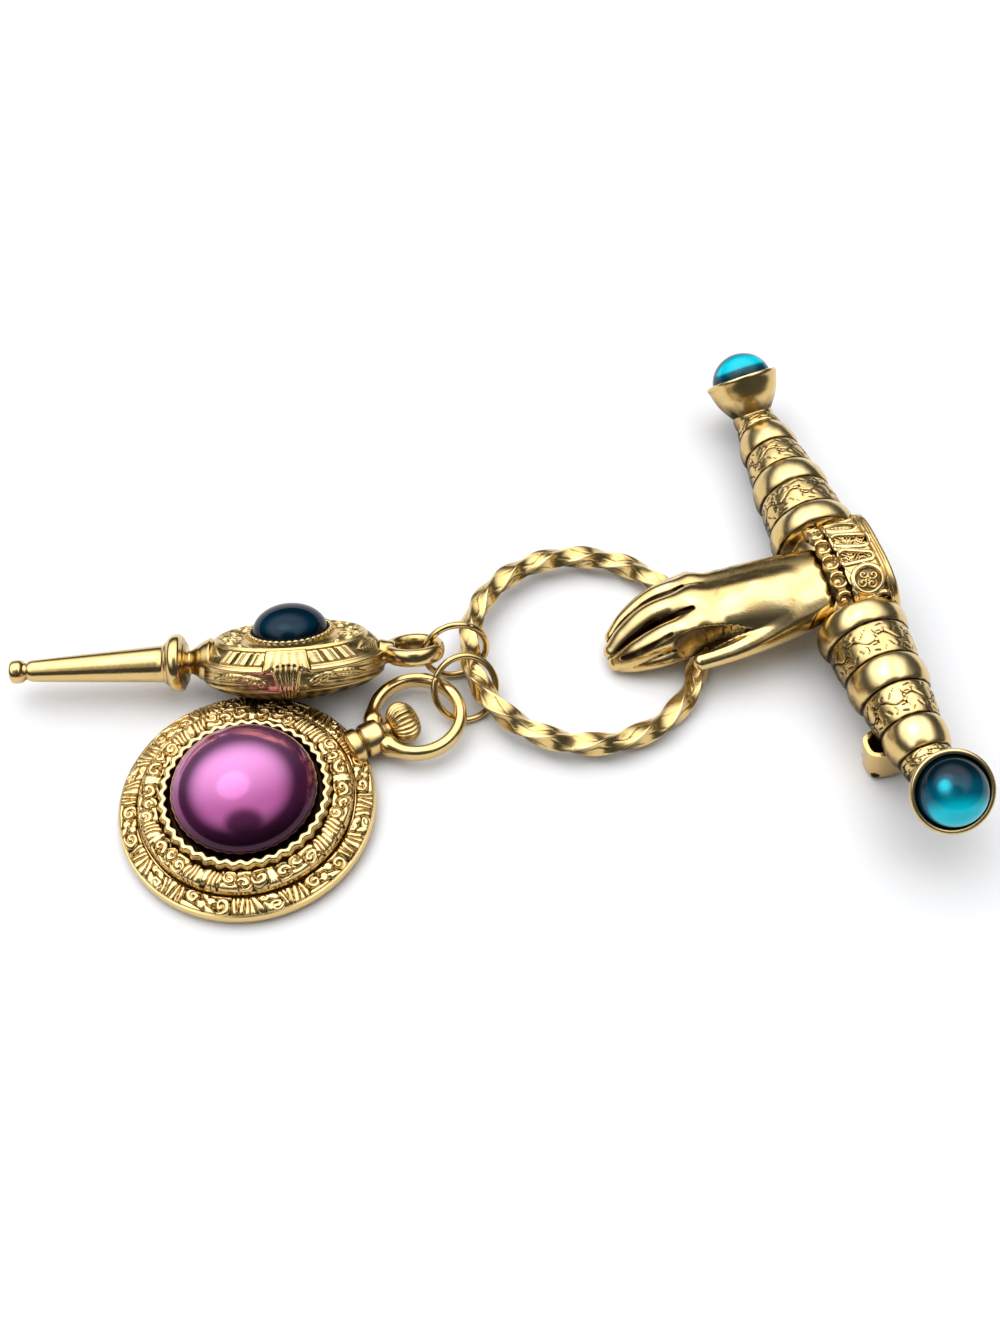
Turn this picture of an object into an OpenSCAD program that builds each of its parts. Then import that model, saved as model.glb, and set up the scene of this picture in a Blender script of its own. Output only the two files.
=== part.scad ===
// Bar brooch: a banded bar with a sleeve cuff and a hand that holds a twisted ring,
// with a key charm and a watch charm on jump rings. All lengths are in millimetres.
// The brooch lies on a flat surface at Z = 0, with its face up.

/* [Bar] */
// Half length of the bar, from its middle to the elbow of each cup
bar_half = 34.5; // [33.5:0.5:36]
// Section radius of the bar at its middle
bar_mid_r = 6.1; // [5.6:0.1:6.4]
// Section radius of the bar at its necks
bar_end_r = 3.1; // [2.9:0.1:3.4]
// Height of the bar's axis above its flat back
bar_axis_h = 1.4; // [1:0.1:1.8]
// Bulge of a plain band
band_bulge = 0.5; // [0.3:0.05:0.7]

/* [End cups] */
// Tilt of the near cup's axis above the bar's axis, in degrees
near_tilt = 48; // [40:1:52]
// Tilt of the far cup's axis above the bar's axis, in degrees
far_tilt = 40; // [38:1:50]
// Outer radius of a cup's rim
cup_rim_r = 5.45; // [5.2:0.05:5.6]
// Distance from the elbow to the rim
cup_len = 6.4; // [6:0.1:6.8]
// Radius of a teal cabochon
teal_r = 4.4; // [4.2:0.05:4.5]
// Height of a teal cabochon above its widest line
teal_h = 4.4; // [3.8:0.1:4.8]

/* [Cuff] */
// Half width of the cuff along the bar
cuff_half_w = 8; // [7.4:0.1:8.2]
// Height of the cuff above the bar's back
cuff_h = 8.2; // [7.8:0.1:8.4]
// Number of scallops round the cuff's mouth
cuff_lobes = 7; // [5:2:9]

/* [Twisted ring] */
// Radius of the twisted ring's centre line
ring_r = 16.1; // [16:0.05:16.2]
// Side of the square wire
ring_side = 2.4; // [2.2:0.1:2.4]
// Facets round the ring, four to each full turn of the wire
ring_facets = 16; // [12:4:20]

/* [Jump rings] */
// Wire diameter of both jump rings
jump_wire = 0.95; // [0.7:0.05:1]
// Centre line radius of the key's jump ring
key_jump_r = 4.35; // [4.3:0.05:4.4]
// Centre line radius of the watch's jump ring
watch_jump_r = 4.4; // [4.35:0.05:4.45]

/* [Key charm] */
// Half length of the key's oval body
key_half_l = 12.9; // [12.4:0.1:13.2]
// Half width of the key's oval body
key_half_w = 7.6; // [7.2:0.1:7.7]
// Radius of the key's cabochon
key_stone_r = 5.1; // [4.8:0.1:5.2]
// Length from the middle of the body to the tip
key_tip_l = 38.5; // [34:0.5:42]

/* [Watch charm] */
// Radius of the watch's rim
watch_r = 16.95; // [16.8:0.05:17.1]
// Radius of the purple cabochon
watch_stone_r = 9.15; // [8.8:0.05:9.3]
// Height of the purple cabochon above its girdle
watch_stone_h = 5.6; // [4.6:0.2:6.2]
// Waves round the bezel
bezel_waves = 38; // [30:2:44]

/* [Hidden] */

gold = "#c9a24b";
teal = "#17a3b5";
dark_teal = "#143f5c";
purple = "#a13c94";

$fn = 48;
gap = 0.12;                  // clearance between a stone or a set-in piece and its seat

// Place of each piece on the surface, seen from above with the bar on the right
layout_mid = [-2.6, 5.5];    // middle of the whole layout, which becomes the origin
bar_at = [47.7, 9.3, 5.46];  // middle of the bar's back
bar_heading = -75.6;         // the bar's near end points this way
bar_pitch = 2.5;             // the near end stands on the catch and lies higher
bar_roll = 10;               // the hand's side lies lower
ring_at = [11.7, 1.6];
ring_lean = 3;               // the charms' side of the ring rests on the jump rings
key_at = [-28.32, -2.70, 6.2];
key_heading = 2.8;
key_pitch = 1.5;
key_roll = -35;              // the key's face leans away over the watch's rim
watch_at = [-33.2, -23.2];
watch_heading = 30.85;
watch_axis_z = 2.75;

// Stations along half of the bar: from, to, and 1 for a plain band or 0 for an engraved one
BANDS = [
    [7.6, 11.4, 1],
    [11.4, 16.6, 0],
    [16.6, 21.0, 1],
    [21.0, 26.0, 0],
    [26.0, 30.6, 1],
    [30.6, 32.6, 0]
];
band_reach = 32.6;
groove = 0.3;
mouth_y = -2;
hem_y = 6;
cuff_wall = 1;
cuff_square = 0.62;          // 1 gives the cuff an elliptic arch, less makes its shoulders squarer

// Seat of the teal cabochons below the rim, and the girdle heights of the stones
cup_seat_drop = 2.7;
teal_girdle = 2.1;
flat_girdle = 1.1;

// Joints of the hand in the bar's frame: x along the bar, y away from the hand, z up, and radius
PALM = [
    [-3.0, -7.6, 3.7, 3.0], [3.6, -7.6, 3.7, 3.1],
    [-4.1, -20, 5.0, 2.2], [-1.4, -21.5, 5.5, 2.3], [1.8, -21.5, 5.3, 2.3], [4.2, -20, 4.6, 2.2]
];
WRIST = [[-2.4, -3.2, 3.4, 2.5], [2.6, -3.2, 3.4, 2.5], [-2.9, -7.2, 3.6, 2.8], [3.1, -7.2, 3.6, 2.9]];
FINGERS = [
    [[-4.5, -20.5, 4.9, 1.95], [-4.3, -25.5, 4.5, 1.8], [-3.0, -29.6, 3.2, 1.6], [-1.9, -31.8, 2.2, 1.4]],
    [[-1.6, -21.5, 5.4, 2.15], [-1.9, -27.0, 4.9, 2.0], [-1.0, -31.0, 3.4, 1.75], [-0.3, -33.0, 2.3, 1.5]],
    [[1.6, -21.5, 5.2, 2.15], [1.3, -27.0, 4.6, 2.0], [1.5, -30.8, 3.1, 1.75], [1.4, -32.6, 2.1, 1.45]],
    [[3.9, -20.5, 4.5, 2.1], [3.6, -25.6, 4.0, 1.85], [2.9, -29.3, 2.8, 1.55], [2.5, -31.3, 2.0, 1.35]]
];
THUMB = [[4.0, -9.5, 3.2, 2.4], [5.0, -13.5, 3.4, 2.1], [5.9, -18.5, 3.6, 1.7], [6.2, -21.8, 3.8, 1.35]];

// Catch: a strip loop that stands off the back beside the near end of the bar
catch_at = [25.4, -3.2];
catch_size = [4.6, 6.2];
catch_h = 5.4;
strip_t = 0.75;
hinge_x = -24;
hinge_h = 3.9;
stem_r = 0.5;
stem_z = -2.9;
base_t = 0.6;
base_w = 2.6;

// Key: radius of the collar, place and section of the eye, level of the stone's seat
key_collar_r = 4;
key_eye_x = 16.6;
key_eye_r = 3.4;
key_eye_w = 0.87;
key_eye_h = 1.2;
key_seat = 2.6;
key_stone_h = 3.6;
key_rib_step = 9;
key_ribs_each_way = 6;
key_beads = 30;

// Watch levels above the surface
rim_top = 2.3;
step_top = 2.9;
band_top = 4.4;
bezel_top = 5.3;
seat_z = 3.6;
bow_r = 5.95;
bow_half_w = 0.88;           // the bow's section is taller than it is wide
bow_half_h = 1.1;
bow_at = 25.49;
bow_shoulder_turn = 24;
crown_at = 23.4;
crown_half_l = 2.1;
crown_r = 2.45;
crown_ribs = 18;
outer_cells = 20;
inner_cells = 14;

function bar_r(s) = bar_end_r + (bar_mid_r - bar_end_r) * (1 - pow(min(abs(s), band_reach) / band_reach, 1.8));

// Outline of one band as [radius, station] pairs, bulging between two grooves
function band_points(b, n) = [
    for (i = [0:n])
        let (t = i / n, s = b[0] + (b[1] - b[0]) * t, bulge = b[2] == 1 ? band_bulge : band_bulge * 0.35)
        [bar_r(s) - groove + (groove + bulge) * pow(sin(180 * t), 0.6), s]
];

bar_side = [for (b = BANDS) each band_points(b, b[2] == 1 ? 8 : 6)];
bar_outline = concat(
    [[0, -bar_half]],
    [[bar_end_r, -bar_half]],
    [for (i = [len(bar_side) - 1:-1:0]) [bar_side[i][0], -bar_side[i][1]]],
    bar_side,
    [[bar_end_r, bar_half]],
    [[0, bar_half]]
);

module layout() {
    translate([-layout_mid[0], -layout_mid[1], 0]) children();
}

module on_bar() {
    layout() translate(bar_at) rotate([0, 0, bar_heading]) rotate([0, -bar_pitch, 0]) rotate([bar_roll, 0, 0])
        children();
}

// Frame of one end cup: origin at the elbow, Z out of the cup
module on_cup(side) {
    tilt = side == 1 ? near_tilt : far_tilt;
    translate([side * bar_half, 0, bar_axis_h]) rotate([0, side * (90 - tilt), 0]) children();
}

module facing(n) {
    rotate([0, acos(n[2] / norm(n)), atan2(n[1], n[0])]) children();
}

module ball(p, fn = 18) {
    translate([p[0], p[1], p[2]]) sphere(r = p[3], $fn = fn);
}

module cup_body() {
    rotate_extrude() polygon([
        [0, 0], [bar_end_r - 0.05, 0], [bar_end_r, 1.1], [3.75, 1.9], [4.5, 3.1], [4.95, 4.3],
        [cup_rim_r - 0.2, 5.6], [cup_rim_r, cup_len - 0.35], [cup_rim_r - 0.12, cup_len - 0.05],
        [cup_rim_r - 0.4, cup_len + 0.05], [cup_rim_r - 0.75, cup_len - 0.15],
        [cup_rim_r - 0.85, cup_len - cup_seat_drop], [0, cup_len - cup_seat_drop]
    ]);
}

module cabochon(r, h, girdle) {
    rotate_extrude() polygon(concat(
        [[0, 0], [r, 0]],
        [for (a = [0:6:84]) [r * cos(a), girdle + h * sin(a)]],
        [[0, girdle + h]]
    ));
}

// Point of the cuff's arch at an angle, on a squared half ellipse
function arch(w, h, a) = [w * sign(cos(a)) * pow(abs(cos(a)), cuff_square), h * pow(sin(a), cuff_square)];

// Arch of the cuff across the bar, swept along the hand's direction
module cuff_arch(grow, y_from, y_to) {
    translate([0, y_to, 0]) rotate([90, 0, 0]) linear_extrude(y_to - y_from)
        polygon([for (a = [0:7.5:180]) arch(cuff_half_w + grow, cuff_h + grow, a)]);
}

module on_cuff(a, y) {
    p = arch(cuff_half_w, cuff_h, a);
    d = arch(cuff_half_w, cuff_h, a + 2) - arch(cuff_half_w, cuff_h, a - 2);
    translate([p[0], y, p[1]]) rotate([0, atan2(d[1], -d[0]), 0]) children();
}

module cuff() {
    difference() {
        union() {
            cuff_arch(0, mouth_y, hem_y - 0.8);
            cuff_arch(0.4, hem_y - 1.9, hem_y);
            for (i = [0:cuff_lobes - 1]) on_cuff(12 + 156 * i / (cuff_lobes - 1), mouth_y)
                translate([0, 0, -0.9]) cylinder(r = 1.4, h = 1.3, $fn = 24);
        }
        cuff_socket();
        translate([-10, -20, -10]) cube([20, 40, 10]);
    }
    for (row = [0:1]) for (i = [0:2]) on_cuff(48 + 42 * i, mouth_y + 1.9 + 2.8 * row)
        rotate_extrude($fn = 24) translate([0.95, 0]) circle(r = 0.3, $fn = 16);
}

// Hollow in the cuff's mouth that takes the wrist
module cuff_socket() {
    cuff_arch(-cuff_wall, -12, -0.4);
}

module bar() {
    color(gold) on_bar() difference() {
        union() {
            intersection() {
                union() {
                    translate([0, 0, bar_axis_h]) rotate([0, 90, 0]) rotate_extrude() polygon(bar_outline);
                    for (side = [-1, 1]) {
                        translate([side * bar_half, 0, bar_axis_h]) sphere(r = bar_end_r);
                        on_cup(side) cup_body();
                    }
                }
                translate([-60, -20, 0]) cube([120, 40, 40]);
            }
            cuff();
        }
        cuff_socket();
    }
}

module chain(joints) {
    for (i = [0:len(joints) - 2]) hull() {
        ball(joints[i]);
        ball(joints[i + 1]);
    }
}

module hand() {
    color(gold) on_bar() {
        hull() for (p = PALM) ball(p);
        hull() for (p = WRIST) ball(p);
        for (f = FINGERS) chain(f);
        chain(THUMB);
    }
}

// Outline of the catch's strip, as a round-ended loop
module loop_outline(size, r) {
    translate([r, -size[1] + r]) circle(r = r);
    translate([size[0] - r, -size[1] + r]) circle(r = r);
    translate([r, -size[1]]) square([size[0] - 2 * r, size[1]]);
    translate([0, -size[1] + r]) square([size[0], size[1] - r]);
}

module pin_back() {
    color(gold) on_bar() translate([0, 0, -gap]) {
        difference() {
            translate([catch_at[0] - catch_size[0] / 2, 0, -catch_h]) linear_extrude(catch_h)
                loop_outline(catch_size, 1.7);
            translate([catch_at[0] - catch_size[0] / 2 + strip_t, 0, -catch_h - 1]) linear_extrude(catch_h + 2)
                loop_outline([catch_size[0] - 2 * strip_t, catch_size[1] - strip_t], 1.1);
        }
        translate([hinge_x, -base_w / 2, -base_t]) cube([catch_at[0] + catch_size[0] / 2 - hinge_x, base_w, base_t]);
        translate([hinge_x - 2, -base_w / 2, -hinge_h]) cube([2.4, base_w, hinge_h]);
        translate([hinge_x, 0, stem_z]) rotate([0, 90, 0]) cylinder(r = stem_r, h = catch_at[0] - hinge_x - 1.5);
        translate([catch_at[0] - 1.5, 0, stem_z]) rotate([0, 90, 0]) cylinder(r1 = stem_r, r2 = 0.15, h = 2.4);
    }
}

module end_cabochon(side) {
    color(teal) on_bar() on_cup(side) translate([0, 0, cup_len - cup_seat_drop + gap]) cabochon(teal_r, teal_h, teal_girdle);
}

// Square wire swept round a circle, turned a quarter turn for each facet
module twisted_ring() {
    steps = ring_facets * 8;
    corner = ring_side / sqrt(2);
    points = [
        for (i = [0:steps - 1]) for (k = [0:3])
            let (a = 360 * i / steps, t = 90 * k + a * ring_facets / 4 + 45, r = ring_r + corner * cos(t))
            [r * cos(a), r * sin(a), corner * sin(t)]
    ];
    faces = [
        for (i = [0:steps - 1]) for (k = [0:3])
            let (j = (i + 1) % steps, m = (k + 1) % 4,
                 shift = i == steps - 1 ? ring_facets % 4 : 0,
                 a = 4 * i + k, b = 4 * i + m, c = 4 * j + (m + shift) % 4, d = 4 * j + (k + shift) % 4)
            each [[a, b, c], [a, c, d]]
    ];
    color(gold) layout()
        translate([ring_at[0], ring_at[1], corner + ring_r * sin(ring_lean)]) rotate([0, ring_lean, 0])
            polyhedron(points, faces);
}

module jump_ring(at, n, r, cut) {
    color(gold) layout() translate(at) facing(n) rotate([0, 0, cut]) difference() {
        rotate_extrude() translate([r, 0]) circle(r = jump_wire / 2, $fn = 20);
        translate([0, -0.1, -1]) cube([r + 2, 0.2, 2]);
    }
}

module key_jump_ring() {
    jump_ring([-6.163, -0.514, 4.693], [0.209, -0.942, 0.264], key_jump_r, 150);
}

module watch_jump_ring() {
    jump_ring([-4.764, -6.017, 3.495], [0.297, -0.611, 0.734], watch_jump_r, 230);
}

module on_key() {
    layout() translate(key_at) rotate([0, 0, key_heading]) rotate([0, -key_pitch, 0]) rotate([key_roll, 0, 0])
        children();
}

module key_shaft() {
    rotate([0, -90, 0]) rotate_extrude($fn = 32) polygon([
        [0, 11], [2.8, 11], [2.1, 13], [1.75, 13.8], [2.9, 14.4], [key_collar_r - 0.3, 14.9],
        [key_collar_r, 15.4], [key_collar_r, 16.1], [key_collar_r - 0.4, 16.8], [2.9, 17.1],
        [2.65, 17.4], [1.5, key_tip_l - 3], [1.4, key_tip_l - 2.4], [1.15, key_tip_l - 2.2],
        [1.15, key_tip_l - 1.9], [1.5, key_tip_l - 1.7], [1.65, key_tip_l - 1], [1.5, key_tip_l - 0.2],
        [1.25, key_tip_l], [0.7, key_tip_l], [0.7, key_tip_l - 1.2], [0, key_tip_l - 1.2]
    ]);
}

module key_body() {
    scale([key_half_l, key_half_w, 1]) rotate_extrude() polygon([
        [0, -5], [0.3, -4.95], [0.55, -4.6], [0.78, -3.4], [0.93, -2.3], [0.985, -1.6], [1, -0.3],
        [1, 0.8], [0.985, 1.4], [0.94, 1.75], [0.79, 3.2], [0.74, 3.5], [0.7, 3.35], [0, 3.35]
    ]);
    translate([0, 0, key_seat]) cylinder(r = key_stone_r + 0.75, h = 1.25);
    for (i = [0:key_beads - 1]) rotate(360 * i / key_beads) translate([key_stone_r + 0.42, 0, key_seat + 1.1])
        cylinder(r = 0.3, h = 0.4, $fn = 6);
}

// Shell ornament on each flank, spread like a fan over the side band
module key_shell(side) {
    for (i = [-2:2]) hull() {
        translate([i * 0.85, side * (key_half_w - 0.35), 1.5]) sphere(r = 0.5, $fn = 10);
        translate([i * 1.35, side * (key_half_w - 0.3 - 0.08 * abs(i)), -1.7]) sphere(r = 0.6, $fn = 10);
    }
}

// Raised ribs of the panels on the front slope
module key_rib(a) {
    translate([key_half_l * 0.87 * cos(a), key_half_w * 0.87 * sin(a), 2.5])
        rotate([0, 0, atan2(sin(a) / key_half_w, cos(a) / key_half_l)]) rotate([0, 44, 0])
            cube([1.8, 0.5, 0.8], center = true);
}

module key_charm() {
    color(gold) on_key() {
        difference() {
            union() {
                key_body();
                key_shaft();
                translate([12.6, 0, 0]) rotate([0, 90, 0]) cylinder(r = 1.5, h = 1.6, $fn = 24);
            }
            translate([0, 0, key_seat]) cylinder(r = key_stone_r + gap, h = 4);
        }
        translate([key_eye_x, 0, 0]) rotate_extrude($fn = 36) translate([key_eye_r, 0]) scale([key_eye_w, key_eye_h])
            circle(r = 1, $fn = 16);
        for (side = [-1, 1]) for (i = [2:key_ribs_each_way]) for (end = [-1, 1])
            key_rib(side * 90 + end * i * key_rib_step);
        for (side = [-1, 1]) key_shell(side);
    }
}

module key_cabochon() {
    color(dark_teal) on_key() translate([0, 0, key_seat + gap]) cabochon(key_stone_r, key_stone_h, flat_girdle);
}

// Leaf and wedge ornament of the outer ring, raised above its sloping face
module outer_ornament() {
    for (i = [0:outer_cells - 1]) rotate(360 * i / outer_cells) {
        translate([15.55, 0]) rotate(i % 2 == 0 ? 0 : 180) polygon([[-0.75, -0.9], [0.85, 0], [-0.75, 0.9]]);
        rotate(180 / outer_cells) translate([15.6, 0]) circle(r = 0.75, $fn = 14);
    }
}

// Scroll ornament of the inner ring
module inner_ornament() {
    for (i = [0:inner_cells - 1]) rotate(360 * i / inner_cells) {
        translate([12.75, 0]) difference() {
            circle(r = 1.15, $fn = 18);
            translate([i % 2 == 0 ? 0.25 : -0.25, 0.3]) circle(r = 0.62, $fn = 14);
        }
        rotate(180 / inner_cells) translate([12.75, 0]) circle(r = 0.5, $fn = 12);
    }
}

module bezel_wall() {
    wave = 0.25;
    inner = 10.4;
    n = bezel_waves * 6;
    translate([0, 0, seat_z]) linear_extrude(bezel_top - seat_z) difference() {
        polygon([for (i = [0:n - 1]) let (a = 360 * i / n, r = inner + 0.7 + wave * cos(a * bezel_waves))
            [r * cos(a), r * sin(a)]]);
        polygon([for (i = [0:n - 1]) let (a = 360 * i / n, r = inner + wave * cos(a * bezel_waves))
            [r * cos(a), r * sin(a)]]);
    }
}

module watch_case() {
    difference() {
        rotate_extrude($fn = 96) polygon([
            [0, 0], [watch_r - 1.4, 0], [watch_r - 0.4, 0.4], [watch_r, 1.1], [watch_r, 1.8],
            [watch_r - 0.35, rim_top], [14.6, step_top], [14.45, step_top - 0.3], [14.2, step_top - 0.3],
            [14.1, 3.4], [13.7, band_top - 0.3], [12.9, band_top - 0.05], [11.9, band_top],
            [11.3, band_top - 0.2], [0, band_top - 0.2]
        ]);
        translate([0, 0, seat_z]) cylinder(r = 10.15, h = 5, $fn = 96);
    }
    bezel_wall();
    translate([0, 0, rim_top - 0.6]) linear_extrude(0.95) outer_ornament();
    translate([0, 0, band_top - 0.8]) linear_extrude(1.05) inner_ornament();
}

module on_watch() {
    layout() translate([watch_at[0], watch_at[1], 0]) rotate([0, 0, watch_heading]) children();
}

// Barrel knob with ribs along its axis
module crown() {
    rotate([0, 90, 0]) {
        rotate_extrude() polygon([
            [0, -crown_half_l], [crown_r * 0.6, -crown_half_l * 0.95], [crown_r * 0.9, -crown_half_l * 0.75],
            [crown_r, -crown_half_l * 0.45], [crown_r, crown_half_l * 0.45], [crown_r * 0.9, crown_half_l * 0.75],
            [crown_r * 0.6, crown_half_l * 0.95], [0, crown_half_l]
        ]);
        for (i = [0:crown_ribs - 1]) rotate(360 * i / crown_ribs) translate([crown_r - 0.05, 0, -crown_half_l * 0.6])
            cylinder(r = 0.32, h = crown_half_l * 1.2, $fn = 16);
    }
}

module watch_charm() {
    color(gold) on_watch() {
        watch_case();
        translate([0, 0, watch_axis_z]) {
            translate([watch_r - 1.6, 0, 0]) rotate([0, 90, 0]) cylinder(r1 = 2.5, r2 = 2.2, h = 1.8);
            translate([watch_r - 1.6, 0, 0]) rotate([0, 90, 0]) cylinder(r = 2.1, h = 4);
            translate([watch_r + 2, 0, 0]) rotate([0, 90, 0]) cylinder(r = 1.3, h = 4);
            translate([crown_at, 0, 0.1]) crown();
            translate([bow_at, 0, 0]) rotate_extrude() translate([bow_r, 0]) scale([bow_half_w, bow_half_h])
                circle(r = 1, $fn = 24);
            for (side = [-1, 1]) translate([bow_at, 0, 0]) rotate([0, 0, 180 + side * bow_shoulder_turn]) translate([bow_r, 0, 0])
                scale([1, 1.5, 1]) sphere(r = 1.4, $fn = 32);
        }
    }
}

module watch_cabochon() {
    color(purple) on_watch() translate([0, 0, seat_z + gap]) cabochon(watch_stone_r, watch_stone_h, flat_girdle);
}

bar();
hand();
pin_back();
end_cabochon(1);  // near_cabochon
end_cabochon(-1);  // far_cabochon
twisted_ring();
key_jump_ring();
watch_jump_ring();
key_charm();
key_cabochon();
watch_charm();
watch_cabochon();
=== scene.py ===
"""Visual model of a bar brooch: banded bar, cuffed hand, twisted ring, key charm and watch charm.

Every new surface is computed as whole numpy arrays in millimetres of a local frame, placed by a
4 x 4 matrix that repeats the layout of the CAD model, and written to the mesh in metres.
"""
import sys
import logging
from dataclasses import dataclass
from enum import Enum
from typing import Callable, Sequence

import bpy
import numpy as np
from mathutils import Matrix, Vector


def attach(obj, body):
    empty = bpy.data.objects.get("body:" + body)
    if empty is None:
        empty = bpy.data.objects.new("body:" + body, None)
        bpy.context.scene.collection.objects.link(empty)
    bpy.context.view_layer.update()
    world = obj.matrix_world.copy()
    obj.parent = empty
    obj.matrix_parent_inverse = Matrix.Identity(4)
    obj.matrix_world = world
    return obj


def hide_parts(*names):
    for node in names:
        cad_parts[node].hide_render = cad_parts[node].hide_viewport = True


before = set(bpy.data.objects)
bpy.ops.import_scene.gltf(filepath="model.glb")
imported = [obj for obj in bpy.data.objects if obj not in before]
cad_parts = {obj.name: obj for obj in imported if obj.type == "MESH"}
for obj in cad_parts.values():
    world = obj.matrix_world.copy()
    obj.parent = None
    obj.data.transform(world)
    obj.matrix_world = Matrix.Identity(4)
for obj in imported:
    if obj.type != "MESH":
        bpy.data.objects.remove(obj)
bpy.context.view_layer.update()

Array = np.ndarray
MM = 0.001  # metres
SEAT_GAP = 0.12  # millimetres between a seated piece and its seat, as in the CAD model
BACK_LEVEL = 0.02  # millimetres over the bar's flat back at which round shapes are cut
PLAIN_RELIEF = 0.8
LOG = logging.getLogger("brooch")


class Node(str, Enum):
    """Names of the CAD nodes that the visual pieces stand for."""

    BAR = "bar"
    HAND = "hand"
    PIN_BACK = "pin_back"
    NEAR_CABOCHON = "near_cabochon"
    FAR_CABOCHON = "far_cabochon"
    TWISTED_RING = "twisted_ring"
    KEY_JUMP_RING = "key_jump_ring"
    WATCH_JUMP_RING = "watch_jump_ring"
    KEY_CHARM = "key_charm"
    KEY_CABOCHON = "key_cabochon"
    WATCH_CHARM = "watch_charm"
    WATCH_CABOCHON = "watch_cabochon"


class Slot(str, Enum):
    """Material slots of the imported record."""

    GOLD = "antique_gold"
    TEAL = "teal_glass"
    DARK_TEAL = "dark_teal_glass"
    PURPLE = "purple_glass"


# ---------------------------------------------------------------- placement


def shift(x: float, y: float, z: float) -> Array:
    """Translation matrix.

    Args:
        x, y, z: Offsets in millimetres.

    Returns:
        A 4 x 4 matrix.
    """
    m = np.eye(4)
    m[:3, 3] = (x, y, z)
    return m


def turn(axis: str, degrees: float) -> Array:
    """Rotation matrix about one main axis.

    Args:
        axis: One of "x", "y" and "z".
        degrees: Right-handed angle.

    Returns:
        A 4 x 4 matrix.
    """
    a = np.radians(degrees)
    i, j = {"x": (1, 2), "y": (2, 0), "z": (0, 1)}[axis]
    m = np.eye(4)
    m[i, i] = m[j, j] = np.cos(a)
    m[j, i], m[i, j] = np.sin(a), -np.sin(a)
    return m


def facing(n: Sequence[float]) -> Array:
    """Matrix that turns +Z to the direction n, as the CAD model's jump rings are turned."""
    v = np.asarray(n, float) / np.linalg.norm(n)
    return turn("z", np.degrees(np.arctan2(v[1], v[0]))) @ turn("y", np.degrees(np.arccos(v[2])))


@dataclass(frozen=True)
class Layout:
    """Where each sub-assembly lies, in millimetres and degrees, as in the CAD model.

    Attributes:
        mid: Point of the layout frame over which the row frame has its origin.
        bar_at, bar_heading, bar_pitch, bar_roll: Place and turns of the bar.
        ring_at, ring_lean: Place and lean of the twisted ring.
        key_at, key_heading, key_pitch, key_roll: Place and turns of the key charm.
        watch_at, watch_heading: Place and turn of the watch charm.
    """

    mid: tuple = (-2.6, 5.5)
    bar_at: tuple = (47.7, 9.3, 5.46)
    bar_heading: float = -75.6
    bar_pitch: float = 2.5
    bar_roll: float = 10.0
    ring_at: tuple = (11.7, 1.6)
    ring_lean: float = 3.0
    key_at: tuple = (-28.32, -2.70, 6.2)
    key_heading: float = 2.8
    key_pitch: float = 1.5
    key_roll: float = -35.0
    watch_at: tuple = (-33.2, -23.2)
    watch_heading: float = 30.85

    def origin(self) -> Array:
        """Matrix from the layout frame to the row frame."""
        return shift(-self.mid[0], -self.mid[1], 0)

    def bar(self) -> Array:
        """Matrix of the bar: X along the bar, -Y along the hand, Z out of its face."""
        return (self.origin() @ shift(*self.bar_at) @ turn("z", self.bar_heading)
                @ turn("y", -self.bar_pitch) @ turn("x", self.bar_roll))

    def cup(self, side: int, half: float, height: float, tilt: float) -> Array:
        """Matrix of an end cup: origin at the elbow, Z out of the cup."""
        return self.bar() @ shift(side * half, 0, height) @ turn("y", side * (90 - tilt))

    def key(self) -> Array:
        """Matrix of the key charm: X towards its eye, Z out of its face."""
        return (self.origin() @ shift(*self.key_at) @ turn("z", self.key_heading)
                @ turn("y", -self.key_pitch) @ turn("x", self.key_roll))

    def watch(self) -> Array:
        """Matrix of the watch charm: X towards its bow, Z out of its face."""
        return self.origin() @ shift(*self.watch_at, 0) @ turn("z", self.watch_heading)


LAYOUT = Layout()

# ---------------------------------------------------------------- array helpers


def circle(count: int) -> Array:
    """Evenly spaced angles of a full turn, without its end."""
    return np.linspace(0, 2 * np.pi, count, endpoint=False)


def unit(x: Array) -> Array:
    """x held between 0 and 1."""
    return np.clip(x, 0, 1)


def xyz(x: Array, y: Array, z: Array) -> Array:
    """Points with three coordinates along a last axis, each first spread to the common shape."""
    return np.stack(np.broadcast_arrays(x, y, z), -1)


def squared(angle: Array, power: float) -> list:
    """Cosine and sine raised to a power with their signs kept; a power below 1 squares the circle off."""
    return [np.sign(f(angle)) * np.abs(f(angle)) ** power for f in (np.cos, np.sin)]


def polar(x: Array, y: Array, centre: tuple, hand: int = 1) -> tuple:
    """Distance and angle of points round a centre; hand -1 mirrors them."""
    dx, dy = x - centre[0], (y - centre[1]) * hand
    return np.hypot(dx, dy), np.arctan2(dy, dx)


def smoothstep(a: float, b: float, x: Array) -> Array:
    """0 below a, 1 above b, with a smooth cubic between; a may be larger than b."""
    t = unit((x - a) / (b - a))
    return t * t * (3 - 2 * t)


def ridge(d: Array, width: float) -> Array:
    """Rounded ridge of height 1 over the line d = 0, gone at a distance of width."""
    return unit(1 - (d / width) ** 2) ** 0.75


def fold(x: Array, period: float) -> Array:
    """x wrapped to the range -period / 2 to period / 2."""
    return x - period * np.round(x / period)


def segment(x: Array, y: Array, a: tuple, b: tuple) -> Array:
    """Distance in the plane from points to the straight line from a to b."""
    ax, ay = x - a[0], y - a[1]
    bx, by = b[0] - a[0], b[1] - a[1]
    t = unit((ax * bx + ay * by) / (bx * bx + by * by))
    return np.hypot(ax - t * bx, ay - t * by)


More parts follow.
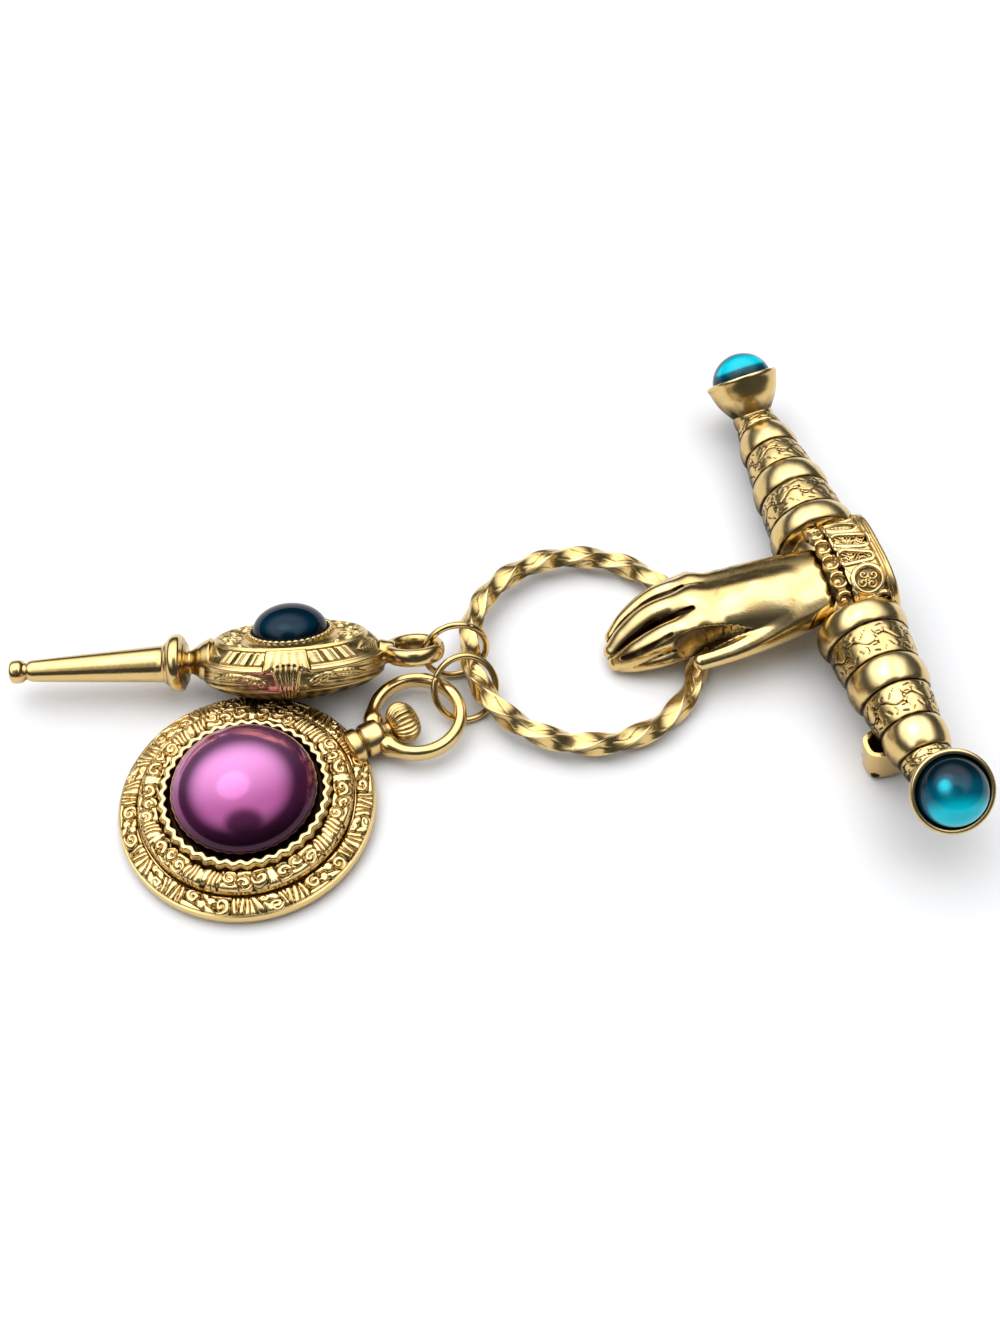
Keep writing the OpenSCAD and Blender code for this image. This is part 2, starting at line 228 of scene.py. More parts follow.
def arc(x: Array, y: Array, centre: tuple, r: float, start: float, end: float) -> Array:
    """Distance in the plane from points to a circular arc between two angles in degrees."""
    dx, dy = x - centre[0], y - centre[1]
    mid, half = np.radians((start + end) / 2), np.radians(abs(end - start) / 2)
    inside = np.abs(fold(np.arctan2(dy, dx) - mid, 2 * np.pi)) <= half
    ends = [np.hypot(dx - r * np.cos(a), dy - r * np.sin(a)) for a in (mid - half, mid + half)]
    return np.where(inside, np.abs(np.hypot(dx, dy) - r), np.minimum(*ends))


def scroll(x: Array, y: Array, centre: tuple, radius: float, pitch: float, hand: int) -> Array:
    """Raised spiral: a ridge along rho = pitch * angle / 2 pi, faded out at the radius."""
    rho, phi = polar(x, y, centre, hand)
    wave = 0.5 + 0.5 * np.cos(2 * np.pi * rho / pitch - phi)
    return wave ** 0.5 * smoothstep(radius, radius - 0.25, rho)


def spiral(x: Array, y: Array, centre: tuple, radius: float, pitch: float, hand: int) -> Array:
    """Distance to a spiral rho = pitch * angle / 2 pi that ends at the radius, stretched to part its turns."""
    stretch = 1.55
    rho, phi = polar(x, y, centre, hand)
    return stretch * np.maximum(np.abs(fold(rho - pitch * phi / (2 * np.pi), pitch)), rho - radius)


def leaf(x: Array, y: Array, a: tuple, b: tuple, width: float) -> Array:
    """Pointed leaf from a to b with a sunk midrib and slanting side veins."""
    bx, by = b[0] - a[0], b[1] - a[1]
    n, vein_pitch = np.hypot(bx, by), 0.55
    u = ((x - a[0]) * bx + (y - a[1]) * by) / n
    v = (-(x - a[0]) * by + (y - a[1]) * bx) / n
    t = unit(u / n)
    half = width * np.sin(np.pi * t ** 0.8) + 1e-6
    body = unit(1 - (v / half) ** 2) ** 0.5 * ((u > 0) & (u < n))
    veins = 0.12 * np.cos((u - np.abs(v) * 1.2) * 2 * np.pi / vein_pitch)
    return body * (0.85 + veins) - 0.45 * ridge(v, 0.12) * (body > 0)


def rosette(x: Array, y: Array, centre: tuple, radius: float, petals: int) -> Array:
    """Round flower: petals of a cosine in the angle round a raised button."""
    rho, phi = polar(x, y, centre)
    rho, wave = rho / radius, np.abs(np.cos(petals * phi / 2))
    edge = 0.82 + 0.18 * wave
    petal = smoothstep(edge, edge - 0.25, rho) * (0.55 + 0.45 * wave ** 0.5)
    return np.maximum(petal * smoothstep(0.22, 0.42, rho), smoothstep(0.34, 0.1, rho))


def packed(strokes: Sequence[Array], gap: float = 0.24, reach: float = 0.62, fall: float = 0.92) -> Array:
    """Close-set ornament: each stroke owns the area nearest to it, rounded, with sunk lines between areas.

    Args:
        strokes: Distance to each stroke, less its half width.
        gap: Width of the sunk lines in millimetres.
        reach, fall: Distance over which a stroke rounds off, and by how much.

    Returns:
        Height from 0 to 1.
    """
    near = np.partition(np.stack(strokes), 1, axis=0)
    line = smoothstep(0.0, gap, near[1] - near[0]) ** 0.6
    return line * (1 - fall * unit(near[0] / reach) ** 2)


def medal_fill(x: Array, y: Array, centre: tuple) -> Array:
    """Four curled tendrils round a small flower, for the round medal of the cuff."""
    ring = 0.9
    curls = [scroll(x, y, (centre[0] + ring * np.cos(a), centre[1] + ring * np.sin(a)), 0.8, 0.58, hand)
             for a, hand in ((0.4, 1), (1.97, -1), (3.54, 1), (5.11, -1))]
    return np.maximum.reduce(curls + [rosette(x, y, centre, 0.5, 5)])


def lumps(p: Array, size: float, seed: int) -> Array:
    """Smooth irregular field from -1 to 1: a sum of sine waves in scattered directions.

    Args:
        p: Points, with their coordinates along the last axis.
        size: Middle wavelength in millimetres.
        seed: Seed of the directions and phases.

    Returns:
        The field at each point.
    """
    waves = 9
    rng = np.random.default_rng(seed)
    k = rng.normal(size=(waves, 3))
    k *= (2 * np.pi / size) * rng.uniform(0.6, 1.6, (waves, 1)) / np.linalg.norm(k, axis=1, keepdims=True)
    phase = rng.uniform(0, 2 * np.pi, waves)
    x, y, z = (p[..., i, None] for i in range(3))
    return np.sin(x * k[:, 0] + y * k[:, 1] + z * k[:, 2] + phase).sum(-1) * 2 / waves


def resample(points: Sequence[tuple], count: int, closed: bool = False, rounding: int = 0) -> Array:
    """Evenly spaced points along a polyline, with its corners rounded by corner cutting.

    Args:
        points: Corners in the plane.
        count: Number of points to return.
        closed: True where the line returns to its start.
        rounding: Number of corner-cutting passes.

    Returns:
        An array of shape (count, 2).
    """
    p = np.asarray(points, float)
    for _ in range(rounding):
        q = np.roll(p, -1, 0) if closed else p[1:]
        b = p if closed else p[:-1]
        cut = np.stack([0.8 * b + 0.2 * q, 0.2 * b + 0.8 * q], 1).reshape(-1, 2)
        p = cut if closed else np.vstack([p[:1], cut, p[-1:]])
    if closed:
        p = np.vstack([p, p[:1]])
    s = np.r_[0, np.cumsum(np.hypot(*np.diff(p, axis=0).T))]
    t = np.linspace(0, s[-1], count + 1)[:-1] if closed else np.linspace(0, s[-1], count)
    return np.stack([np.interp(t, s, p[:, 0]), np.interp(t, s, p[:, 1])], 1)


def left_of(path: Array) -> Array:
    """Unit vectors square to a path in the plane, on its left."""
    d = np.gradient(path, axis=0)
    return np.stack([-d[:, 1], d[:, 0]], 1) / np.linalg.norm(d, axis=1, keepdims=True)


def with_painted_underside_shade(relief: Array | float, up: Array) -> Array:
    """Relief lowered where the surface faces sideways or down: painted shade on the sides and underside, so that the
    plate stays bright on top.
    """
    return relief * (0.42 + 0.58 * smoothstep(-0.35, 0.7, up))


@dataclass
class Grid:
    """A surface on a rectangular grid of points, in millimetres of its own frame.

    Its second direction closes on itself. So does the first where it wraps; otherwise a fan of
    triangles closes its first and last rows.

    Attributes:
        points: Array of shape (n, m, 3).
        relief: Value or array of shape (n, m), 0 in the deepest recess and 1 on the highest part; it also carries
            painted shade, and on the stones a painted glow.
        wrap: The first direction closes on itself.
    """

    points: Array
    relief: Array | float = PLAIN_RELIEF
    wrap: bool = False

    def raised(self, height: Array, relief: Array) -> "Grid":
        """The grid moved along its outward normals by height, in millimetres, with a new relief."""
        return Grid(self.points + self.normals() * height[..., None], relief, self.wrap)

    def above(self, matrix: Array, level: float) -> "Grid":
        """The grid with its points lifted to at least a level above the surface, once placed by the matrix."""
        z = self.points @ matrix[2, :3] + matrix[2, 3]
        lift = np.maximum(level - z, 0)[..., None] * matrix[2, :3]
        return Grid(self.points + lift, self.relief, self.wrap)

    def cross(self) -> Array:
        """Unit normals from central differences, on the side that the order of the points gives."""
        p = self.points
        du = np.roll(p, -1, 0) - np.roll(p, 1, 0) if self.wrap else np.gradient(p, axis=0)
        n = np.cross(du, np.roll(p, -1, 1) - np.roll(p, 1, 1))
        return n / (np.linalg.norm(n, axis=2, keepdims=True) + 1e-12)

    def outward(self) -> float:
        """1 where the grid's own normals point out of the solid, otherwise -1: the sign of their flux."""
        du, dv = [np.roll(self.points, -1, axis) - self.points for axis in (0, 1)]
        if not self.wrap:
            du[-1] = 0
        area = np.linalg.norm(np.cross(du, dv), axis=2)
        flux = (((self.points - self.points.mean((0, 1))) * self.cross()).sum(2) * area).sum()
        return 1.0 if flux > 0 else -1.0

    def normals(self) -> Array:
        """Unit normals out of the solid."""
        return self.cross() * self.outward()

    def faces(self, base: int) -> tuple:
        """Vertex rows, quads and triangles, with indices from base."""
        n, m = self.points.shape[:2]
        ii, jj = np.meshgrid(np.arange(n if self.wrap else n - 1), np.arange(m), indexing="ij")
        i1, j1 = (ii + 1) % n, (jj + 1) % m
        quads = np.stack([ii * m + jj, i1 * m + jj, i1 * m + j1, ii * m + j1], -1).reshape(-1, 4)
        points, tris = self.points.reshape(-1, 3), np.zeros((0, 3), int)
        if not self.wrap:
            k, k1 = np.arange(m), (np.arange(m) + 1) % m
            first = np.stack([np.full(m, n * m), k, k1], 1)
            last = np.stack([np.full(m, n * m + 1), (n - 1) * m + k1, (n - 1) * m + k], 1)
            points, tris = np.vstack([points, self.points[[0, -1]].mean(1)]), np.vstack([first, last])
        if self.outward() < 0:
            quads, tris = quads[:, ::-1], tris[:, ::-1]
        return points, quads + base, tris + base

    def relief_values(self) -> Array:
        """Relief of each vertex row, with the centres of the fans at the mean."""
        r = np.broadcast_to(self.relief, self.points.shape[:2])
        return np.r_[unit(r).ravel(), np.full(0 if self.wrap else 2, r.mean())]


def revolve(profile: Array, count: int, closed: bool = False) -> Grid:
    """Surface of revolution about Z: the profile's (r, z) points swept round a full circle."""
    a = circle(count)
    r, z = profile[:, :1], profile[:, 1:]
    return Grid(xyz(r * np.cos(a), r * np.sin(a), z), wrap=closed)


def tube(path: Array, radii: Array, sides: int) -> Grid:
    """Round tube along a path that isn't upright: circles in planes square to it."""
    d = np.gradient(path, axis=0)
    d /= np.linalg.norm(d, axis=1, keepdims=True)
    side = np.cross([0.0, 0.0, 1.0], d)
    side /= np.linalg.norm(side, axis=1, keepdims=True)
    a = circle(sides)[:, None]
    return Grid(path[:, None] + radii[:, None, None] * (np.cos(a) * side[:, None]
                                                        + np.sin(a) * np.cross(d, side)[:, None]))


# ---------------------------------------------------------------- materials


class Tree:
    """Short calls for building a node tree."""

    def __init__(self, tree: bpy.types.NodeTree) -> None:
        """Keeps the tree."""
        self.tree = tree

    def add(self, kind: str, **values: object) -> bpy.types.Node:
        """Adds a node and sets its properties, or its inputs where the name starts with in_."""
        node = self.tree.nodes.new(kind)
        for key, value in values.items():
            if key.startswith("in_"):
                node.inputs[int(key[3:])].default_value = value
            else:
                setattr(node, key, value)
        return node

    def link(self, a: bpy.types.NodeSocket, b: bpy.types.NodeSocket) -> None:
        """Joins an output to an input."""
        self.tree.links.new(a, b)

    def feed(self, node: bpy.types.Node, values: dict) -> None:
        """Links or sets inputs of a node, from sockets or constants by the input's number."""
        for i, v in values.items():
            if isinstance(v, bpy.types.NodeSocket):
                self.link(v, node.inputs[i])
            else:
                node.inputs[i].default_value = v

    def math(self, op: str, a: object, b: object = 0.0, clamp: bool = False) -> bpy.types.NodeSocket:
        """Result of a math node on two sockets or numbers."""
        node = self.add("ShaderNodeMath", operation=op, use_clamp=clamp)
        self.feed(node, {0: a, 1: b})
        return node.outputs[0]

    def between(self, value: bpy.types.NodeSocket, low: float, high: float) -> bpy.types.NodeSocket:
        """A value from 0 to 1 spread from low to high."""
        span = self.add("ShaderNodeMapRange", in_3=low, in_4=high)
        self.link(value, span.inputs[0])
        return span.outputs[0]

    def mix(self, fac: object, a: object, b: object) -> bpy.types.NodeSocket:
        """Colour mix of a and b, each a socket or an RGBA tuple."""
        node = self.add("ShaderNodeMix", data_type="RGBA")
        self.feed(node, {0: fac, 6: a, 7: b})
        return node.outputs[2]


def new_material(name: str, constants: dict) -> tuple:
    """Starts a material and sets the constants on the shader's own sockets.

    Args:
        name: Name of the material.
        constants: Values by the name of the Principled shader's input.

    Returns:
        The material, its tree, its shader, and the socket of the relief attribute.
    """
    m = bpy.data.materials.new(name)
    m.use_nodes = True
    t, bsdf = Tree(m.node_tree), m.node_tree.nodes["Principled BSDF"]
    for label, value in constants.items():
        bsdf.inputs[label].default_value = value
    return m, t, bsdf, t.add("ShaderNodeAttribute", attribute_name="relief").outputs["Fac"]


class Groups:
    """Node groups shared by the finishes."""

    @staticmethod
    def _new(name: str, inputs: dict, outputs: Sequence[str]) -> tuple:
        """Starts a group of float sockets.

        Args:
            name: Name of the group.
            inputs: Default values by the name of the input.
            outputs: Names of the outputs.

        Returns:
            The group, its tree, and its input and output nodes.
        """
        group = bpy.data.node_groups.new(name, "ShaderNodeTree")
        for label, default in inputs.items():
            group.interface.new_socket(name=label, in_out="INPUT",
                                       socket_type="NodeSocketFloat").default_value = default
        for label in outputs:
            group.interface.new_socket(name=label, in_out="OUTPUT", socket_type="NodeSocketFloat")
        t = Tree(group)
        return group, t, t.add("NodeGroupInput"), t.add("NodeGroupOutput")

    @classmethod
    def patina(cls) -> bpy.types.NodeTree:
        """Mask of the dark colour, strong where the relief attribute is low, broken up by noise: tarnish in the
        recesses, and painted shade where the relief carries it.
        """
        group, t, i, o = cls._new("PatinaAndShadeMask", {"Relief": PLAIN_RELIEF, "Depth": 0.55, "Softness": 0.35,
                                                 "Breakup": 0.25, "Scale": 900.0}, ["Mask"])
        at = t.add("ShaderNodeTexCoord")
        noise = t.add("ShaderNodeTexNoise", in_3=4.0, in_4=0.6)
        t.link(at.outputs["Object"], noise.inputs["Vector"])
        t.link(i.outputs["Scale"], noise.inputs["Scale"])
        uneven = t.math("MULTIPLY", t.math("SUBTRACT", noise.outputs[0], 0.5), i.outputs["Breakup"])
        low = t.math("SUBTRACT", i.outputs["Depth"], i.outputs["Softness"])
        ramp = t.add("ShaderNodeMapRange", interpolation_type="SMOOTHSTEP", in_3=1.0, in_4=0.0)
        t.feed(ramp, {0: t.math("ADD", i.outputs["Relief"], uneven), 1: low, 2: i.outputs["Depth"]})
        t.link(ramp.outputs[0], o.inputs[0])
        return group

    @classmethod
    def surface(cls) -> bpy.types.NodeTree:
        """Height of fine casting grain with sparse scratches, and a smudge value for roughness."""
        group, t, i, o = cls._new("CastSurface", {"Grain scale": 2600.0, "Scratch scale": 700.0,
                                                  "Scratches": 0.5}, ["Height", "Smudge"])
        at = t.add("ShaderNodeTexCoord")
        grain = t.add("ShaderNodeTexNoise", in_3=3.0)
        t.link(at.outputs["Object"], grain.inputs["Vector"])
        t.link(i.outputs["Grain scale"], grain.inputs["Scale"])
        stretch = t.add("ShaderNodeMapping")
        stretch.inputs["Scale"].default_value = (1.0, 7.0, 3.0)
        stretch.inputs["Rotation"].default_value = (0.3, 0.5, 0.9)
        t.link(at.outputs["Object"], stretch.inputs["Vector"])
        lines = t.add("ShaderNodeTexNoise", in_3=1.0)
        t.link(stretch.outputs[0], lines.inputs["Vector"])
        t.link(i.outputs["Scratch scale"], lines.inputs["Scale"])
        thin = t.math("ABSOLUTE", t.math("SUBTRACT", lines.outputs[0], 0.5))
        cut = t.math("SUBTRACT", 1.0, t.math("MULTIPLY", thin, 28.0, clamp=True), clamp=True)
        cuts = t.math("MULTIPLY", cut, i.outputs["Scratches"])
        t.link(t.math("SUBTRACT", grain.outputs[0], cuts), o.inputs["Height"])
        smudge = t.add("ShaderNodeTexNoise", in_2=220.0, in_3=3.0)
        t.link(at.outputs["Object"], smudge.inputs["Vector"])
        t.link(smudge.outputs[0], o.inputs["Smudge"])
        return group


@dataclass(frozen=True)
class GoldFinish:
    """Antique gold plate over cast relief.

    Attributes:
        name: Material name.
        gold, bright, patina: Linear colours of the plate; of its rubbed edges, which also take painted light on top;
            and of its recesses, which also take painted shade.
        depth, softness: Relief below which the dark colour starts, and how gradually.
        rough_low, rough_high: Range of roughness from the smudges.
        bump: Strength of the grain.
        warm: Linear colour that the smudges add to the plate.
        wear_and_light_from: Relief above which the plate is rubbed bright and painted lit on top.
        wear_and_light, smudged, patina_rough: Shares of the bright and warm colours, and roughness of the dark
            colour.
        grain_depth: Depth of the grain in metres.
    """

    name: str
    gold: tuple = (0.72, 0.52, 0.22, 1)
    bright: tuple = (0.96, 0.80, 0.44, 1)
    patina: tuple = (0.030, 0.014, 0.006, 1)
    depth: float = 0.55
    softness: float = 0.42
    rough_low: float = 0.15
    rough_high: float = 0.30
    bump: float = 0.05
    warm: tuple = (0.58, 0.37, 0.12, 1)
    wear_and_light_from: float = 0.80
    wear_and_light: float = 0.6
    smudged: float = 0.35
    patina_rough: float = 0.28
    grain_depth: float = 0.0002

    def build(self, groups: dict) -> bpy.types.Material:
        """Makes the material.

        Args:
            groups: The shared node groups by name.

        Returns:
            The new material.
        """
        m, t, bsdf, relief = new_material(self.name, {"Metallic": 1.0})
        mask = t.add("ShaderNodeGroup", node_tree=groups["patina"])
        t.link(relief, mask.inputs["Relief"])
        mask.inputs["Depth"].default_value = self.depth
        mask.inputs["Softness"].default_value = self.softness
        cast = t.add("ShaderNodeGroup", node_tree=groups["surface"])
        smudge = cast.outputs["Smudge"]
        # bright colour where the relief is high: rubbed wear, and painted light on upward faces
        wear_and_light = t.add("ShaderNodeMapRange", interpolation_type="SMOOTHSTEP", in_1=self.wear_and_light_from, in_2=1.0)
        t.link(relief, wear_and_light.inputs[0])
        lit = t.mix(t.math("MULTIPLY", wear_and_light.outputs[0], self.wear_and_light), self.gold, self.bright)
        warm = t.mix(t.math("MULTIPLY", smudge, self.smudged), lit, self.warm)
        # dark colour where the relief is low: tarnish in the recesses, and painted shade
        t.link(t.mix(mask.outputs[0], warm, self.patina), bsdf.inputs["Base Color"])
        dull = t.math("MULTIPLY", mask.outputs[0], self.patina_rough)
        rough = t.math("ADD", t.between(smudge, self.rough_low, self.rough_high), dull)
        t.link(rough, bsdf.inputs["Roughness"])
        bump = t.add("ShaderNodeBump")
        bump.inputs["Strength"].default_value = self.bump
        bump.inputs["Distance"].default_value = self.grain_depth
        t.link(cast.outputs["Height"], bump.inputs["Height"])
        t.link(bump.outputs[0], bsdf.inputs["Normal"])
        return m


@dataclass(frozen=True)
class StoneFinish:
    """Foil-backed glass cabochon. The relief attribute carries a painted glow: painted light and shade across the
    stone.

    Attributes:
        name: Material name.
        dark, body, glow: Linear colours from the painted shade at the rim to the painted glow on the lit side.
        metallic, roughness: Constants of the shader.
        specular: Reflection under the clear surface.
        coat, coat_roughness, coat_ior: Weight, roughness and index of the clear surface.
        stops: Places of the three colours along the glow value.
        cloud, uneven: How far the smudges vary the glow and the roughness.
        scratches: Depth of the scratches.
    """

    name: str
    dark: tuple
    body: tuple
    glow: tuple
    metallic: float = 0.0
    roughness: float = 0.08
    specular: float = 0.05
    coat: float = 0.35
    coat_roughness: float = 0.02
    coat_ior: float = 1.55
    stops: tuple = (0.1, 0.5, 0.95)
    cloud: float = 0.06
    uneven: float = 0.05
    scratches: float = 0.15

    def build(self, groups: dict) -> bpy.types.Material:
        """Makes the material from the shared node groups."""
        m, t, bsdf, relief = new_material(self.name, {
            "Metallic": self.metallic, "Specular IOR Level": self.specular, "Coat Weight": self.coat,
            "Coat Roughness": self.coat_roughness, "Coat IOR": self.coat_ior})
        ramp = t.add("ShaderNodeValToRGB")
        ramp.color_ramp.interpolation = "EASE"
        ramp.color_ramp.elements.new(self.stops[1])
        for e, at, colour in zip(ramp.color_ramp.elements, self.stops, (self.dark, self.body, self.glow)):
            e.position, e.color = at, colour
        cast = t.add("ShaderNodeGroup", node_tree=groups["surface"])
        cast.inputs["Scratches"].default_value = self.scratches
        cloud = t.math("MULTIPLY", t.math("SUBTRACT", cast.outputs["Smudge"], 0.5), self.cloud)
        # the colour follows the painted glow
        t.link(t.math("ADD", relief, cloud), ramp.inputs[0])
        t.link(ramp.outputs[0], bsdf.inputs["Base Color"])
        rough = t.between(cast.outputs["Smudge"], self.roughness, self.roughness + self.uneven)
        t.link(rough, bsdf.inputs["Roughness"])
        return m


class Finishes:
    """All materials, made once and looked up by name."""

    def __init__(self) -> None:
        """Makes the shared groups and every material."""
        groups = {"patina": Groups.patina(), "surface": Groups.surface()}
        looks = [
            GoldFinish("gold_cast"),
            GoldFinish("gold_smooth", depth=0.45, rough_low=0.09, rough_high=0.22),
            GoldFinish("gold_deep", depth=0.58, softness=0.5, bump=0.08),
            StoneFinish("teal_stone", (0.0, 0.010, 0.018, 1), (0.0, 0.085, 0.14, 1), (0.0, 0.66, 0.82, 1)),
            StoneFinish("dark_teal_stone", (0.0, 0.004, 0.010, 1), (0.0, 0.020, 0.042, 1),
                        (0.0, 0.075, 0.13, 1), coat=0.22),
            StoneFinish("purple_stone", (0.040, 0.006, 0.026, 1), (0.25, 0.045, 0.17, 1),
                        (0.60, 0.22, 0.49, 1), metallic=0.85, roughness=0.13, specular=0.4, coat=0.3),
        ]
        self.by_name = {look.name: look.build(groups) for look in looks}

    def __getitem__(self, name: str) -> bpy.types.Material:
        """The material of that name."""
        return self.by_name[name]


# ---------------------------------------------------------------- pieces


class Builder:
    """Writes grids to mesh objects and hands them to the frame."""

    def __init__(self, finishes: Finishes) -> None:
        """Keeps the materials and starts the list of pieces."""
        self.finishes = finishes
        self.made: list = []

    def piece(self, name: str, grids: Sequence[Grid], matrix: Array, finish: str, node: Node,
              sharp: float = 50.0, slot: Slot = Slot.GOLD) -> None:
        """Joins grids into one object in the row frame.

        Args:
            name: Object name.
            grids: Surfaces in the piece's own frame, in millimetres.
            matrix: Placement of that frame.
            finish: Name of the material.
            node: CAD node that the piece stands for.
            sharp: Edges over this angle in degrees are shaded sharp.
            slot: Record slot that the finish belongs to.
        """
        rows, base = [], 0
        for g in grids:
            p, quads, tris = g.faces(base)
            if slot is Slot.GOLD:
                # painted shade on faces turned sideways or down
                g.relief = with_painted_underside_shade(g.relief, g.normals() @ matrix[2, :3])
            rows.append((p, quads, tris, g.relief_values()))
            base += len(p)
        points, quads, tris, relief = (np.concatenate(row) for row in zip(*rows))
        self.write(name, points @ matrix[:3, :3].T + matrix[:3, 3], quads.tolist() + tris.tolist(), relief,
                   finish, node, sharp, slot)

    def write(self, name: str, points: Array, faces: list, relief: Array, finish: str, node: Node,
              sharp: float, slot: Slot = Slot.GOLD) -> None:
        """Args:
            name: Object name.
            points: Points in millimetres.
            faces: Vertex numbers of each face.
            relief: Relief of each point.
            finish, node, sharp: As for piece; slot is not used.
        """
        mesh = bpy.data.meshes.new(name)
        mesh.from_pydata(points * MM, [], faces)
        mesh.polygons.foreach_set("use_smooth", np.ones(len(mesh.polygons), bool))
        mesh.set_sharp_from_angle(angle=np.radians(sharp))
        att = mesh.attributes.new("relief", "FLOAT", "POINT")
        att.data.foreach_set("value", relief.astype(np.float32))
        mesh.materials.append(self.finishes[finish])
        mesh.update()
        obj = bpy.data.objects.new(name, mesh)
        bpy.context.scene.collection.objects.link(obj)
        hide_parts(node.value)
        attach(obj, "root")
        self.made.append(obj)
        LOG.info("%s: %d vertices, %d faces", name, len(points), len(mesh.polygons))


@dataclass
class Cabochon:
    """Domed stone: a low girdle wall and a half-ellipse dome.

    Attributes:
        name, node, slot, finish: Names of the piece, CAD node, slot and material.
        matrix: Frame with Z out of the stone.
        lift: Height of its flat base along Z.
        r, girdle, dome: Radius, girdle height and dome height.
        bevel: Width of the bevel under the girdle.
        glow_to, glow_gain, glow_power: Direction of the painted glow, its strength and its narrowness.
        spot_to, spot_gain, spot_power: The same for a small painted reflection of the foil.
        rim_shade: How much painted shade darkens the stone at its rim.
    """

    name: str
    node: Node
    slot: Slot
    finish: str
    matrix: Array
    lift: float
    r: float
    girdle: float
    dome: float
    glow_to: tuple = (0.05, -0.85, 0.5)
    glow_gain: float = 1.0
    glow_power: float = 2.4
    spot_to: tuple = (-0.44, -0.30, 0.85)
    spot_gain: float = 0.0
    spot_power: float = 80.0
    rim_shade: float = 0.78
    bevel: float = 0.18

    def build(self, b: Builder) -> None:
        """Sweeps r cos(a), girdle + dome sin(a) about Z; the painted glow is a cosine of the turned normal."""
        a, r, e = np.radians(np.linspace(0, 89.5, 44)), self.r, self.bevel
        foot = np.array([[0.02, 0], [r * 0.5, 0], [r - e, 0], [r - e * 0.3, e * 0.3], [r, e]])
        dome = np.stack([r * np.cos(a), self.girdle + self.dome * np.sin(a)], 1)
        g = revolve(np.vstack([foot, dome]) + [0, self.lift], 96)
        world = g.normals() @ self.matrix[:3, :3].T
        # painted glow and painted reflection of the foil, from where the turned normals face
        low, spot = [unit(world @ (np.asarray(to) / np.linalg.norm(to)) * 0.5 + 0.5)
                     for to in (self.glow_to, self.spot_to)]
        glow = low ** self.glow_power * self.glow_gain + spot ** self.spot_power * self.spot_gain
        # painted shade towards the rim
        rim = smoothstep(1.0, 0.86, np.hypot(g.points[..., 0], g.points[..., 1]) / r)
        g.relief = unit(glow) * (1 - self.rim_shade * (1 - rim))
        b.piece(self.name, [g], self.matrix, self.finish, self.node, 80, self.slot)


